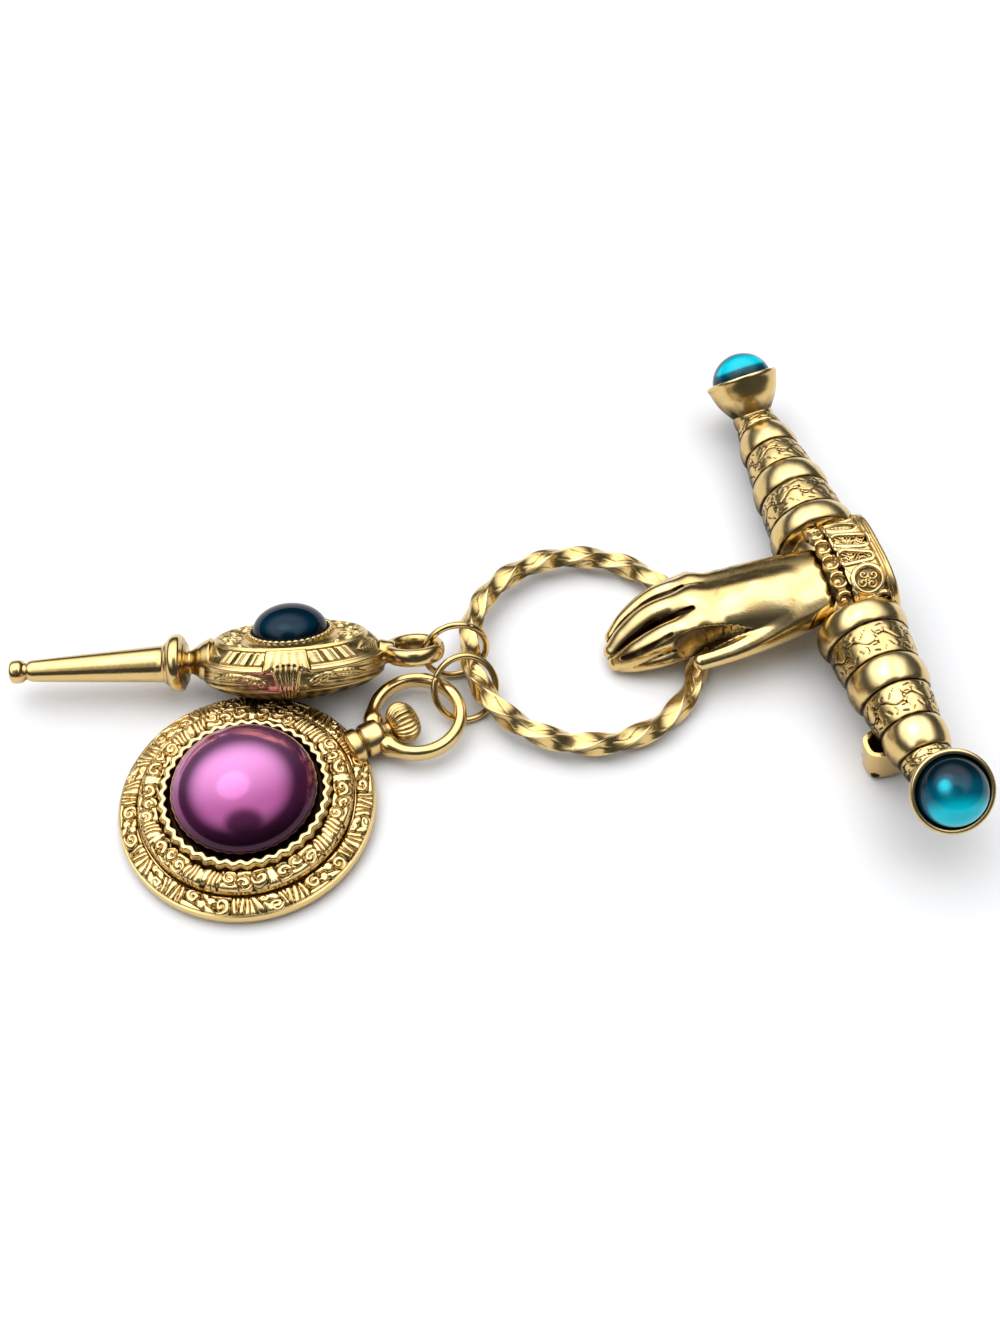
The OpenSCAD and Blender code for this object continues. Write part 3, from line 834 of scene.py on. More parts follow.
@dataclass
class Bar:
    """The banded bar with its flat back, its end cups and the sleeve cuff.

    Attributes:
        half: Half length to the elbows.
        mid_r, end_r: Section radius at the middle and at the necks.
        axis_h: Height of the axis over the flat back.
        bands: Stations of half the bar: from, to, and 1 for plain or 0 for engraved.
        bulge, groove: Height of a plain band and depth of the grooves between bands.
        near_tilt, far_tilt, cup_len, rim_r: Tilts of the two end cups, their length and outer radius.
        vine: Length of one wave of the engraved vine.
        cuff_w, cuff_h, cuff_square: Half width and height of the cuff, and the power of its arch.
        mouth, hem: Ends of the cuff along Y.
        loop, loop_at: Pitch of the chain loops at the mouth, and the place of one of them.
        medal_at: Centre of the round medal: arc length from the crown, and place along the cuff.
    """

    half: float = 34.5
    mid_r: float = 6.1
    end_r: float = 3.1
    axis_h: float = 1.4
    bands: tuple = ((7.6, 11.4, 1), (11.4, 16.6, 0), (16.6, 21.0, 1), (21.0, 26.0, 0), (26.0, 30.6, 1),
                    (30.6, 32.6, 0))
    bulge: float = 0.5
    groove: float = 0.3
    near_tilt: float = 48.0
    far_tilt: float = 40.0
    cup_len: float = 6.4
    rim_r: float = 5.45
    vine: float = 4.4
    cuff_w: float = 8.0
    cuff_h: float = 8.2
    cuff_square: float = 0.62
    mouth: float = -2.0
    hem: float = 6.0
    loop: float = 2.95
    loop_at: float = 1.05
    medal_at: tuple = (5.05, 2.55)

    def section_radius(self, s: Array) -> Array:
        """Taper: end_r + (mid_r - end_r) (1 - (|s| / reach) ** 1.8)."""
        reach = self.bands[-1][1]
        return self.end_r + (self.mid_r - self.end_r) * (1 - np.minimum(np.abs(s) / reach, 1) ** 1.8)

    def profile(self, s: Array) -> tuple:
        """Radius along the bar with its bands, and the band's kind and phase for the engraving."""
        r = self.section_radius(s) - self.groove
        kind, phase = np.ones_like(s), np.full_like(s, 0.5)
        for lo, hi, plain in self.bands:
            on = (np.abs(s) >= lo) & (np.abs(s) < hi)
            t = unit((np.abs(s) - lo) / (hi - lo))
            swell, power = (self.bulge, 0.36) if plain else (self.bulge * 0.35, 0.22)
            r = np.where(on, r + (self.groove + swell) * np.sin(np.pi * t) ** power, r)
            kind, phase = np.where(on, plain, kind), np.where(on, t, phase)
        under_cuff = self.bands[0][0]
        inner = np.abs(s) < under_cuff
        r = r - 1.5 * smoothstep(under_cuff - 0.1, under_cuff - 0.7, np.abs(s))
        return r, np.where(inner, 1, kind), np.where(inner, 0.5, phase)

    def engraving(self, q: Array, kind: Array, phase: Array) -> Array:
        """Fine cut strokes on the engraved bands, in arc length q round the bar: a vine with leaf sprigs."""
        x, y = fold(q, self.vine), (phase - 0.5) * 4.6
        strokes = [np.abs(y - 0.55 * np.sin(2 * np.pi * q / self.vine)) * 0.9]
        strokes += [arc(x, y, at, r, start, end) for at, r, start, end in (
            ((0.5, 1.15), 0.75, 180, 290), ((0.5, 0.1), 0.75, 70, 180), ((-0.6, -1.15), 0.75, 0, 110),
            ((-0.6, -0.1), 0.75, 250, 360), ((2.0, 1.15), 0.5, 110, 240), ((-1.75, -0.75), 0.45, -70, 80))]
        strokes += [segment(x, y, a, b) for a, b in (
            ((1.5, -1.2), (2.0, -0.6)), ((-2.0, 1.3), (-1.6, 0.8)), ((0.1, 1.75), (0.8, 1.55)),
            ((-1.3, -1.8), (-0.5, -1.6)), ((0.9, -1.75), (1.2, -1.3)), ((-0.9, 1.3), (-0.55, 1.75)))]
        return ridge(np.minimum.reduce(strokes), 0.14) * (kind < 0.5)

    def arm(self) -> Grid:
        """Round arms cut flat at the back: r(s) about the axis, for z above the back only."""
        s = np.linspace(-self.half, self.half, 620)
        r, kind, phase = (v[:, None] for v in self.profile(s))
        start = -np.arcsin(unit(self.axis_h / r))
        phi = start + (np.pi - 2 * start) * np.linspace(0, 1, 84)
        s = s[:, None]
        q = (phi - np.pi / 2) * self.section_radius(s)
        cut = self.engraving(q, kind, phase)
        place = xyz(s, q, 0 * q)
        rr = r - 0.10 * cut + lumps(place, 3.0, 4) * 0.03 * (0.4 + 0.6 * kind)
        front = xyz(s, rr * np.cos(phi), np.maximum(self.axis_h + rr * np.sin(phi), 0.0))
        u = np.linspace(0, 1, 12)[1:-1, None]
        back = front[:, -1:] * (1 - u) + front[:, :1] * u
        # painted shade: the relief falls off from the top of each arm towards its flat back
        flank = smoothstep(0.0, 0.9, np.sin(np.clip(phi, 0, np.pi)))
        rel = (0.08 + 0.80 * smoothstep(0.0, 0.115, np.minimum(phase, 1 - phase))) - 0.8 * cut
        rel = rel * (0.55 + 0.45 * flank) + 0.08 * lumps(place, 1.6, 2) + 0.06 * (kind > 0.5)
        relief = np.concatenate([rel, np.full((len(s), len(u)), 0.45)], 1)
        return Grid(np.concatenate([front, back], 1), relief)

    @staticmethod
    def on_back(points: Array) -> Array:
        """Points held just over the bar's flat back."""
        return xyz(points[..., 0], points[..., 1], np.maximum(points[..., 2], BACK_LEVEL))

    def cup(self, side: int) -> Grid:
        """Cup turned from its profile about the tilted axis, with a rolled rim."""
        n, r = self.cup_len, self.rim_r
        outline = resample([(0.02, -0.3), (2.3, -0.3), (3.05, 0.9), (3.75, 1.9), (4.5, 3.1), (4.95, 4.3),
                            (r - 0.2, 5.5), (r, n - 0.45), (r - 0.02, n - 0.1), (r - 0.3, n + 0.06),
                            (r - 0.66, n - 0.02), (r - 0.86, n - 0.3), (r - 0.88, n - 2.68), (0.02, n - 2.68)],
                           110, rounding=2)
        g = revolve(outline, 112)
        z, rad = outline[:, 1], outline[:, 0]
        rel = 0.35 + 0.5 * smoothstep(0.5, 4.0, z) + 0.15 * smoothstep(n - 0.6, n - 0.1, z)
        # painted shade on the inner wall and seat round the stone
        past_rim = np.arange(len(z)) > np.argmax(z)
        rel = np.where(past_rim & (rad < r - 0.6), 0.1, rel)
        tilt = self.near_tilt if side > 0 else self.far_tilt
        local = np.linalg.inv(LAYOUT.bar()) @ LAYOUT.cup(side, self.half, self.axis_h, tilt)
        return Grid(self.on_back(g.points @ local[:3, :3].T + local[:3, 3]),
                    rel[:, None] + 0.06 * lumps(g.points, 2.2, 5))

    def elbow(self, side: int) -> Grid:
        """Ball at the elbow between the neck and its cup, cut by the flat back."""
        a = np.radians(np.linspace(-89, 89, 34))
        g = revolve(np.stack([self.end_r * np.cos(a), self.end_r * np.sin(a)], 1), 64)
        return Grid(self.on_back(g.points + [side * self.half, 0, self.axis_h]), 0.55)

    def frames(self, p: Array, y: Array) -> tuple:
        """Relief of the cuff: a chain of loops at the mouth, dark pockets, then framed panels and the hem.

        Args:
            p: Arc length round the cuff from its crown, towards the near side, in millimetres.
            y: Place along the cuff in millimetres.

        Returns:
            Height in millimetres and relief value.
        """
        loop = self.loop
        upper = segment(p, y, (-2.35, 1.0), (-1.15, 3.95)) - 0.82
        lower = segment(p, y, (0.85, 1.15), (1.75, 4.0)) - (1.0 - 0.2 * (y - 1.0))
        leaf_frame = segment(p, y, (-5.9, 0.7), (-4.1, 3.6)) - (0.66 + 0.2 * np.sin(1.1 * y))
        medal = polar(p, y, self.medal_at)[0] - 1.78
        sides = [segment(p, y, a, b) - 0.85 for a, b in (((-8.4, 0.7), (-7.4, 3.8)), ((9.2, 0.8), (8.7, 3.8)))]
        sdf = np.minimum.reduce([upper, lower, leaf_frame, medal, *sides])
        border = ridge(sdf - 0.24, 0.42)
        inside = smoothstep(0.04, -0.16, sdf)
        fill = 0.75 * ridge(fold(p + 0.5 * np.sin(2.6 * y), 0.62), 0.2)
        for k in range(5):
            hand = 1 - 2 * (k % 2)
            fill = np.maximum.reduce([
                fill, scroll(p, y, (-2.3 + 0.28 * k, 1.0 + 0.74 * k), 0.52, 0.5, hand),
                scroll(p, y, (0.88 + 0.22 * k, 1.15 + 0.7 * k), 0.55 - 0.06 * k, 0.5, -hand)])
        fill = np.where(medal < 0.1, np.maximum(0.95 * medal_fill(p, y, self.medal_at), 0.2), fill)
        fill = unit(np.where(leaf_frame < 0.1, leaf(p, y, (-6.0, 0.1), (-4.0, 4.1), 0.6), fill))
        c = fold(p - self.loop_at, loop)
        swirl = np.hypot(c, (y + 1.35) * 0.95)
        links = np.maximum(ridge(swirl - 1.08, 0.36), 0.6 * ridge(np.hypot(c - 0.15, y + 1.5), 0.62))
        pocket = smoothstep(0.62, 0.36, np.hypot(fold(p - self.loop_at - loop / 2, loop), (y + 0.32) * 1.25))
        wave = np.cos(2 * np.pi * c / loop)
        channel = smoothstep(-0.5, -0.36, y + 0.14 * wave) * smoothstep(-0.06, -0.2, y)
        chain = smoothstep(-0.2, -0.4, y) * links
        sunk = smoothstep(-0.25, -0.4, y) * smoothstep(1.0, 0.7, swirl) * (1 - links)
        dark = unit(np.maximum(pocket, 0.8 * channel))
        lines = ridge(y - 5.15, 0.10) + ridge(y - 4.62, 0.14)
        lines += ridge(y - 5.5, 0.08) * smoothstep(5.0, 3.0, np.abs(p))
        plate = ridge(y - 0.22 - 0.18 * wave, 0.26)
        height = 0.24 * border - 0.30 * inside * (1 - 0.8 * fill) - 0.5 * dark
        height += 0.38 * chain - 0.2 * sunk - 0.10 * lines + 0.1 * plate
        rel = 0.74 + 0.26 * np.maximum(border, plate) - 0.66 * inside * (1 - fill) - 0.85 * dark
        rel += 0.26 * chain - 0.5 * sunk - 0.45 * lines
        return height, unit(rel)

    def cuff(self) -> Grid:
        """Squared half-ellipse sleeve: (w |cos a|^e, h |sin a|^e) along Y, closed along its inner face."""
        bow = np.stack(squared(np.radians(np.linspace(180, 0, 1801)), self.cuff_square), 1)
        wall, count, hem_swell = 1.0, 330, 0.34
        base = resample(bow * (self.cuff_w, self.cuff_h), count)
        inner = resample(bow * (self.cuff_w - wall, self.cuff_h - wall), count)
        steps = np.r_[0, np.cumsum(np.linalg.norm(np.diff(base, axis=0), axis=1))]
        ys = np.linspace(self.mouth - 1.0, self.hem, 176)
        pp, yy = np.meshgrid(steps - steps[-1] / 2, ys, indexing="ij")
        height, rel = self.frames(pp, yy)
        hem = smoothstep(4.55, 4.85, yy) * hem_swell
        hem *= np.sqrt(np.clip(1 - unit((yy - self.hem + 0.4) / 0.4) ** 2, 0.2, 1))
        skin = (height + hem - 0.08)[..., None] * left_of(base)[:, None] + base[:, None]
        scallop = self.mouth + 0.25 - 0.6 * np.abs(np.cos(np.pi * (pp - self.loop_at) / self.loop))
        shown = np.maximum(yy, scallop)
        outer = xyz(skin[..., 0], shown, skin[..., 1])
        ends = np.stack([np.full(count, self.hem), shown[:, 0]], 1)
        p = self.on_back(np.concatenate([outer, xyz(inner[:, :1], ends, inner[:, 1:])], 1))
        # the inner face is dark, deepest towards the hem: painted shade inside the sleeve
        return Grid(p, np.concatenate([rel, np.tile([0.1, 0.55], (count, 1))], 1))

    def build(self, b: Builder) -> None:
        """Makes the arms with their cups, and the cuff."""
        grids = [self.arm(), self.cup(1), self.cup(-1), self.elbow(1), self.elbow(-1)]
        b.piece("bar_arms", grids, LAYOUT.bar(), "gold_cast", Node.BAR)
        b.piece("cuff", [self.cuff()], LAYOUT.bar(), "gold_deep", Node.BAR, 60)


@dataclass
class Hand:
    """Sculpted right hand: balls swept along curves melt together, and it is meshed where the field is zero.

    Attributes:
        step: Cell size of the field in millimetres.
        low, high: Corners of the box that holds the hand.
        wrist: Place along Y where the hand is cut off inside the cuff.
        palm_blend, finger_blend, hand_blend, groove_blend, thumb_blend: Widths over which shapes melt.
        palm, fingers, thumb: Strands of the palm, the curled fingers and the thumb, each as rows of x, y, z
            and radius.
        carved, floors: Grooves between the fingers and behind the thumb, and the relief on their floors, which
            paints shade into the grooves.
    """

    step: float = 0.2
    low: tuple = (-8.2, -36.0, -0.9)
    high: tuple = (9.6, -0.4, 9.4)
    wrist: float = -0.7
    palm_blend: float = 1.6
    finger_blend: float = 0.12
    hand_blend: float = 1.3
    groove_blend: float = 0.12
    thumb_blend: float = 0.4
    palm: tuple = (
        ((-2.5, -3.2, 3.5, 2.78), (-3.1, -10, 3.9, 2.8), (-4.2, -20, 4.8, 2.1)),
        ((0.1, -3.4, 3.9, 3.02), (-0.3, -12, 4.6, 3.0), (-1.5, -21, 5.4, 2.25)),
        ((2.7, -3.2, 3.5, 2.78), (3.0, -10, 3.8, 2.85), (2.4, -20.5, 5.1, 2.35)),
        ((1.2, -8, 4.2, 2.9), (1.0, -12, 4.6, 3.0), (0.6, -20, 5.3, 2.35)),
        ((4.0, -9.0, 3.0, 2.2), (5.0, -15.5, 2.5, 1.5), (5.4, -19.5, 2.5, 1.15)))
    fingers: tuple = (
        ((2.3, -20.0, 5.2, 2.35), (2.1, -25.5, 4.75, 2.15), (2.0, -29.3, 3.6, 1.85),
         (1.9, -31.6, 2.6, 1.5), (1.6, -33.0, 1.9, 1.2)),
        ((-1.7, -20.5, 5.5, 2.2), (-2.0, -26.5, 5.0, 1.95), (-1.3, -30.5, 3.5, 1.65), (-0.3, -33.0, 2.2, 1.3)),
        ((-4.8, -20.0, 5.1, 1.9), (-5.1, -25.3, 4.6, 1.65), (-4.2, -29.6, 3.2, 1.4), (-2.6, -32.2, 2.2, 1.2)),
        ((-6.3, -20.0, 4.5, 1.45), (-6.3, -24.2, 3.9, 1.3), (-5.4, -28.0, 2.7, 1.2), (-4.2, -30.4, 2.0, 1.05)),
        ((4.2, -22.5, 3.5, 1.15), (3.7, -27.0, 2.7, 1.25), (2.9, -30.4, 2.0, 1.1), (2.2, -32.2, 1.6, 0.95)))
    thumb: tuple = ((3.3, -3.6, 3.1, 3.0), (4.6, -9.5, 3.0, 2.6), (6.0, -13.5, 3.2, 1.8),
                    (6.7, -17.0, 3.4, 1.42), (6.95, -19.5, 3.6, 1.28), (7.05, -22.3, 3.8, 1.18))
    carved: tuple = (
        ((0.8, -21.2, 7.6, 0.42), (0.0, -25.1, 6.75, 0.48), (0.05, -28.2, 6.05, 0.44),
         (0.45, -31.0, 4.85, 0.38), (0.9, -32.9, 3.7, 0.32)),
        ((-3.65, -21.3, 6.95, 0.38), (-3.95, -24.8, 6.45, 0.43), (-3.6, -28.1, 5.45, 0.4),
         (-2.9, -30.8, 4.1, 0.34), (-1.6, -32.8, 3.2, 0.3)),
        ((-6.2, -20.8, 6.1, 0.22), (-6.2, -24.5, 5.4, 0.28), (-5.2, -28.3, 4.1, 0.28), (-3.7, -31.0, 3.0, 0.22)),
        ((3.3, -25.0, 6.9, 0.25), (3.5, -27.3, 6.15, 0.34), (3.15, -30.4, 4.75, 0.34), (2.5, -32.2, 3.8, 0.26)),
        ((5.9, -14.9, 5.3, 0.6), (6.4, -16.3, 5.8, 1.65), (6.65, -18.0, 6.05, 2.45), (6.95, -20.5, 6.1, 3.2),
         (7.15, -23.0, 5.9, 3.65), (7.6, -25.0, 5.3, 3.1), (8.2, -27.0, 4.6, 2.2)))
    floors: tuple = (0.1, 0.1, 0.1, 0.1, 0.26)

    @staticmethod
    def curve(j: Array, t: Array) -> Array:
        """Smooth curve through the rows of j at parameters t: cubic pieces with central slopes."""
        slope = np.gradient(j, axis=0)
        i = np.minimum(t.astype(int), len(j) - 2)
        f = (t - i)[:, None]
        return ((2 * f ** 3 - 3 * f ** 2 + 1) * j[i] + (f ** 3 - 2 * f ** 2 + f) * slope[i]
                + (3 * f ** 2 - 2 * f ** 3) * j[i + 1] + (f ** 3 - f ** 2) * slope[i + 1])

    @staticmethod
    def join(a: Array, b: Array, k: float) -> Array:
        """Smooth minimum: the two distances melt together within k millimetres."""
        h = unit(0.5 + 0.5 * (b - a) / k)
        return b + (a - b) * h - k * h * (1 - h)

    def chain(self, p: Array, joints: tuple) -> Array:
        """Distance from points to a ball swept along a smooth curve through the joints as its radius changes.

        Args:
            p: Points of shape (n, 3).
            joints: Rows of x, y, z and radius.

        Returns:
            Signed distances: the nearest chord gives a first place on the curve, two Newton steps refine it.
        """
        j = np.array(joints, float)
        last, parts = len(j) - 1, 2
        knots = self.curve(j, np.linspace(0, last, parts * last + 1))
        best, at = np.full(len(p), np.inf), np.zeros(len(p))
        for k, (a, d) in enumerate(zip(knots[:-1], np.diff(knots, axis=0))):
            t = unit(((p - a[:3]) @ d[:3]) / (d[:3] @ d[:3]))
            dist = np.linalg.norm(p - a[:3] - t[:, None] * d[:3], axis=1) - (a[3] + d[3] * t)
            at = np.where(dist < best, (k + t) / parts, at)
            best = np.minimum(best, dist)
        for _ in range(2):
            low, high = np.clip(at - 0.01, 0, last), np.clip(at + 0.01, 0, last)
            c = self.curve(j, at)[:, :3]
            d = (self.curve(j, high)[:, :3] - self.curve(j, low)[:, :3]) / (high - low)[:, None]
            at = np.clip(at + np.clip(((p - c) * d).sum(1) / (d * d).sum(1), -0.2, 0.2), 0, last)
        c = self.curve(j, at)
        return np.linalg.norm(p - c[:, :3], axis=1) - c[:, 3]

    def union(self, p: Array, strands: tuple, blend: float) -> Array:
        """Distance to several strands that melt together."""
        d = self.chain(p, strands[0])
        for joints in strands[1:]:
            d = self.join(d, self.chain(p, joints), blend)
        return d

    def field_at(self, p: Array) -> Array:
        """Signed distance of the hand at points of shape (n, 3), in the bar's frame."""
        d = self.join(self.union(p, self.palm, self.palm_blend), self.union(p, self.fingers, self.finger_blend),
                      self.hand_blend)
        for groove in self.carved:
            d = -self.join(-d, self.chain(p, groove), self.groove_blend)
        d = self.join(d, self.chain(p, self.thumb), self.thumb_blend)
        return np.maximum(d, p[:, 1] - self.wrist)

    def slopes(self, p: Array, reach: float) -> tuple:
        """Field at points, and its differences over a reach along the three axes."""
        here = self.field_at(p)
        return here, np.stack([self.field_at(p + e) - here for e in np.eye(3) * reach], 1)

    def mesh(self) -> tuple:
        """Surface net: one vertex in each cell that the surface crosses, moved onto the surface.

        Returns:
            Points in millimetres, and quads.
        """
        lo, every = np.array(self.low), 3
        n = np.ceil((np.array(self.high) - lo) / self.step).astype(int)
        axes = [lo[k] + self.step * np.arange(n[k]) for k in range(3)]
        pts = np.stack(np.meshgrid(*axes, indexing="ij"), -1)
        coarse = pts[1::every, 1::every, 1::every]
        f = np.pad(self.field_at(coarse.reshape(-1, 3)).reshape(coarse.shape[:3]), [(0, 1)] * 3, mode="edge")
        for k in range(3):
            f = np.repeat(f, every, axis=k)
        f = f[:n[0], :n[1], :n[2]].copy()
        near = np.abs(f) < 3.2 * self.step
        f[near] = self.field_at(pts[near])
        solid = f < 0
        corner = np.stack([solid[i:n[0] - 1 + i, j:n[1] - 1 + j, k:n[2] - 1 + k]
                           for i in (0, 1) for j in (0, 1) for k in (0, 1)])
        mixed = corner.any(0) & ~corner.all(0)
        index = np.full(mixed.shape, -1)
        index[mixed] = np.arange(mixed.sum())
        verts = lo + self.step * (np.argwhere(mixed) + 0.5)
        probe, longest = 0.02, 0.15
        for _ in range(3):
            here, g = self.slopes(verts, probe)
            g /= probe
            step = here / np.maximum((g ** 2).sum(1), 0.3)
            verts = verts - np.clip(step, -longest, longest)[:, None] * g
        quads = [self.walls(solid, index, axis) for axis in range(3)]
        return verts, np.vstack(quads)

    @staticmethod
    def walls(solid: Array, index: Array, axis: int) -> Array:
        """Quads across one axis: each joins the four cells round a grid edge that the surface crosses.

        Args:
            solid: True at the grid points inside the hand.
            index: Vertex number of each cell, or -1.
            axis: Axis of the grid edges.

        Returns:
            An array of shape (n, 4), wound outwards.
        """
        u, v = [k for k in range(3) if k != axis]
        first, second = [slice(1, -1)] * 3, [slice(1, -1)] * 3
        first[axis], second[axis] = slice(0, -1), slice(1, None)
        a, c = solid[tuple(first)], solid[tuple(second)]
        at = np.argwhere(a != c)
        inside = a[tuple(at.T)]
        at[:, [u, v]] += 1
        eu, ev = np.eye(3, dtype=int)[[u, v]]
        ring = np.stack([index[tuple((at - o).T)] for o in (0 * eu, eu, eu + ev, ev)], 1)
        flip = inside if axis != 1 else ~inside
        ring[flip] = ring[flip][:, ::-1]
        return ring[(ring >= 0).all(1)][:, ::-1]

    def relief(self, verts: Array) -> Array:
        """Relief: painted shade where the air above is closed in, in the grooves and on faces turned down, a painted
        dark reflection along one side, and the thumb painted bright.
        """
        normal = self.slopes(verts, 0.05)[1]
        normal /= np.linalg.norm(normal, axis=1, keepdims=True) + 1e-9
        # painted shade where the air above the surface is closed in
        relief = 0.92 * smoothstep(0.35, 0.85, self.field_at(verts + normal * 0.9))
        # painted shade on the floors of the grooves
        for groove, floor in zip(self.carved, self.floors):
            relief *= floor + (1 - floor) * smoothstep(0.03, 0.4, self.chain(verts, groove))
        # the thumb painted bright over the painted shade
        relief = np.maximum(relief, 0.9 * smoothstep(0.3, 0.05, self.chain(verts, self.thumb)))
        # painted dark reflection along one side of the hand
        y, edge = verts[:, 1], verts[:, 0] + 0.9 * lumps(verts, 5.0, 9)
        painted_dark_side = smoothstep(0.6, -1.4, edge) * smoothstep(-21.5, -17.5, y) * smoothstep(-0.8, -3.5, y)
        relief *= 1 - painted_dark_side * (0.60 + 0.14 * lumps(verts, 1.6, 10))
        # painted shade on faces turned sideways or down
        relief = with_painted_underside_shade(relief, normal @ LAYOUT.bar()[2, :3])
        return unit(relief + 0.1 * lumps(verts, 4.0, 8))

    def build(self, b: Builder) -> None:
        """Makes the hand."""
        verts, quads = self.mesh()
        m = LAYOUT.bar()
        b.write("hand_cast", verts @ m[:3, :3].T + m[:3, 3], quads.tolist(), self.relief(verts), "gold_smooth",
                Node.HAND, 60)


@dataclass
class PinBack:
    """Fittings on the back of the bar: a U-shaped catch loop, a base strip, a hinge block and the pin stem.

    Attributes:
        catch_x, catch_w, catch_l, catch_h: Place, width, length and depth of the loop.
        strip: Thickness of the loop.
        base_w, base_t: Width and thickness of the base strip.
        hinge_x, hinge_h: Place and depth of the hinge block.
        stem_r, stem_z: Radius and level of the stem.
        gap: Clearance under the bar's back.
    """

    catch_x: float = 25.4
    catch_w: float = 4.6
    catch_l: float = 6.2
    catch_h: float = 5.4
    strip: float = 0.75
    base_w: float = 2.6
    base_t: float = 0.6
    hinge_x: float = -24.0
    hinge_h: float = 3.9
    stem_r: float = 0.5
    stem_z: float = -2.9
    gap: float = SEAT_GAP

    def loop(self) -> Grid:
        """Flat strip bent round a U in the bar's XY plane: a rounded rectangle carried along the bend."""
        w, n = self.catch_w / 2 - self.strip / 2, self.catch_l - self.strip / 2
        path = resample([(-w, 0.6), (-w, -n), (w, -n), (w, 0.6)], 120, rounding=4)
        section = resample([(-0.5, -1), (0.5, -1), (0.5, 0), (-0.5, 0)], 64, closed=True)
        t, h = section[:, 0] * self.strip, section[:, 1] * self.catch_h
        edge = np.minimum(np.abs(section[:, 1]), np.abs(section[:, 1] + 1)) * self.catch_h
        t = t * (1 - 0.22 * smoothstep(0.35, 0.0, edge))
        x, y = np.moveaxis(path[:, None] + left_of(path)[:, None] * t[:, None], 2, 0)
        # painted shade: the inner face of the loop is darker
        return Grid(xyz(x + self.catch_x, y, h - self.gap), 0.85 - 0.35 * smoothstep(0.0, 0.2, t))

    def block(self, x: tuple, z: tuple, half_y: float, y: float = 0.0, relief: float = 0.75) -> Grid:
        """Block under the bar's back with rounded long edges: a squared oval carried along X.

        Args:
            x, z: Its ends along X, and its levels from the clearance under the back.
            half_y, y: Half its width, and its middle.
            relief: Its relief value.

        Returns:
            The grid, drawn in at its ends.
        """
        u = np.r_[0, 0.08, 0.2, np.linspace(0.3, 1, 12)]
        xs = np.r_[x[0] + u * 0.6, (x[1] - u * 0.6)[::-1]][:, None]
        k = 0.8 + 0.2 * np.sqrt(unit(1 - (1 - u) ** 2))
        k = np.r_[k, k[::-1]][:, None]
        cy, cz = squared(circle(40), 0.35)
        mid, half = (z[0] + z[1]) / 2 - self.gap, (z[1] - z[0]) / 2
        return Grid(xyz(xs, y + half_y * k * cy, mid + half * k * cz), relief)

    def build(self, b: Builder) -> None:
        """Makes the loop with a dark plate low inside it that paints shade there, the strip with its hinge, and the
        pointed stem.
        """
        inset, end, half = 0.2, self.catch_x + 0.9, self.catch_w / 2
        strip = self.block((self.hinge_x, self.catch_x + half), (-self.base_t, 0), self.base_w / 2)
        hinge = self.block((self.hinge_x - 2, self.hinge_x + 0.4), (-self.hinge_h, 0), self.base_w / 2)
        x = np.r_[np.linspace(self.hinge_x, end - 3, 30), np.linspace(end - 2.9, end, 12)]
        stem = tube(xyz(x, 0, self.stem_z - self.gap), self.stem_r * unit((end + 0.3 - x) / 3.2), 24)
        # dark plate inside the loop at relief 0.06: a painted shadow
        floor = -self.catch_h + self.gap
        shade_plate = self.block((self.catch_x - half + inset, self.catch_x + half - inset),
                          (floor + 0.1, floor + 0.9), self.catch_l / 2 - 0.3, -self.catch_l / 2, 0.06)
        b.piece("pin_fittings", [self.loop(), shade_plate, strip, hinge, stem], LAYOUT.bar(), "gold_smooth",
                Node.PIN_BACK, 40)


@dataclass
class TwistedRing:
    """Square wire swept round a circle, a quarter turn for each facet.

    Attributes:
        r: Radius of the centre line.
        side, power: Side of the square section, and the power that rounds its corners.
        facets: Facets round the ring.
        mark_depth: Depth of the chasing.
    """

    r: float = 16.1
    side: float = 2.4
    facets: int = 16
    power: float = 18.0
    mark_depth: float = 0.07

    def build(self, b: Builder) -> None:
        """Sweeps a rounded square whose angle grows with the sweep, with chased marks on its faces."""
        a, t, half = circle(1000)[:, None], circle(72)[None, :], self.side / 2
        rho = half / (np.abs(np.cos(t)) ** self.power + np.abs(np.sin(t)) ** self.power) ** (1 / self.power)
        rho = np.minimum(rho, half * 1.36)
        face, from_face = np.round(t / (np.pi / 2)), fold(t, np.pi / 2)
        along, quarter = a * self.r, 2 * np.pi * self.r / self.facets
        marks = self.chasing(fold(along + face * quarter * 0.5, quarter), from_face * half * 1.2, face, along)
        rho = rho - self.mark_depth * marks
        angle = t + a * self.facets / 4
        rr = self.r + rho * np.cos(angle)
        p = xyz(rr * np.cos(a), rr * np.sin(a), rho * np.sin(angle))
        edge = smoothstep(0.62, 0.95, np.abs(from_face) / (np.pi / 4))
        rel = 0.66 + 0.34 * edge - 0.6 * marks + 0.12 * lumps(p, 3.5, 11)
        height = self.side / np.sqrt(2) + self.r * np.sin(np.radians(LAYOUT.ring_lean))
        m = LAYOUT.origin() @ shift(*LAYOUT.ring_at, height) @ turn("y", LAYOUT.ring_lean)
        b.piece("twisted_ring_wire", [Grid(p, rel, wrap=True)], m, "gold_cast", Node.TWISTED_RING, 45)

    @staticmethod
    def chasing(x: Array, y: Array, face: Array, along: Array) -> Array:
        """Chased leaf pairs on a wandering stem on every second face, and slanting flats on the others."""
        stem = ridge(y - 0.35 * np.sin(2 * np.pi * x / 4.2), 0.10)
        leaves = np.maximum.reduce([leaf(x, y, a, b, 0.24) for a, b in (
            ((-1.9, 0.05), (-0.5, 0.62)), ((-1.2, -0.1), (0.2, -0.66)), ((0.5, 0.1), (1.9, 0.6)))])
        return np.where(np.mod(face, 2) < 0.5, unit(np.maximum(0.8 * stem, 0.7 * leaves)),
                        0.6 * ridge(fold(along, 3.15) * 0.5 + y * 0.9, 0.1))


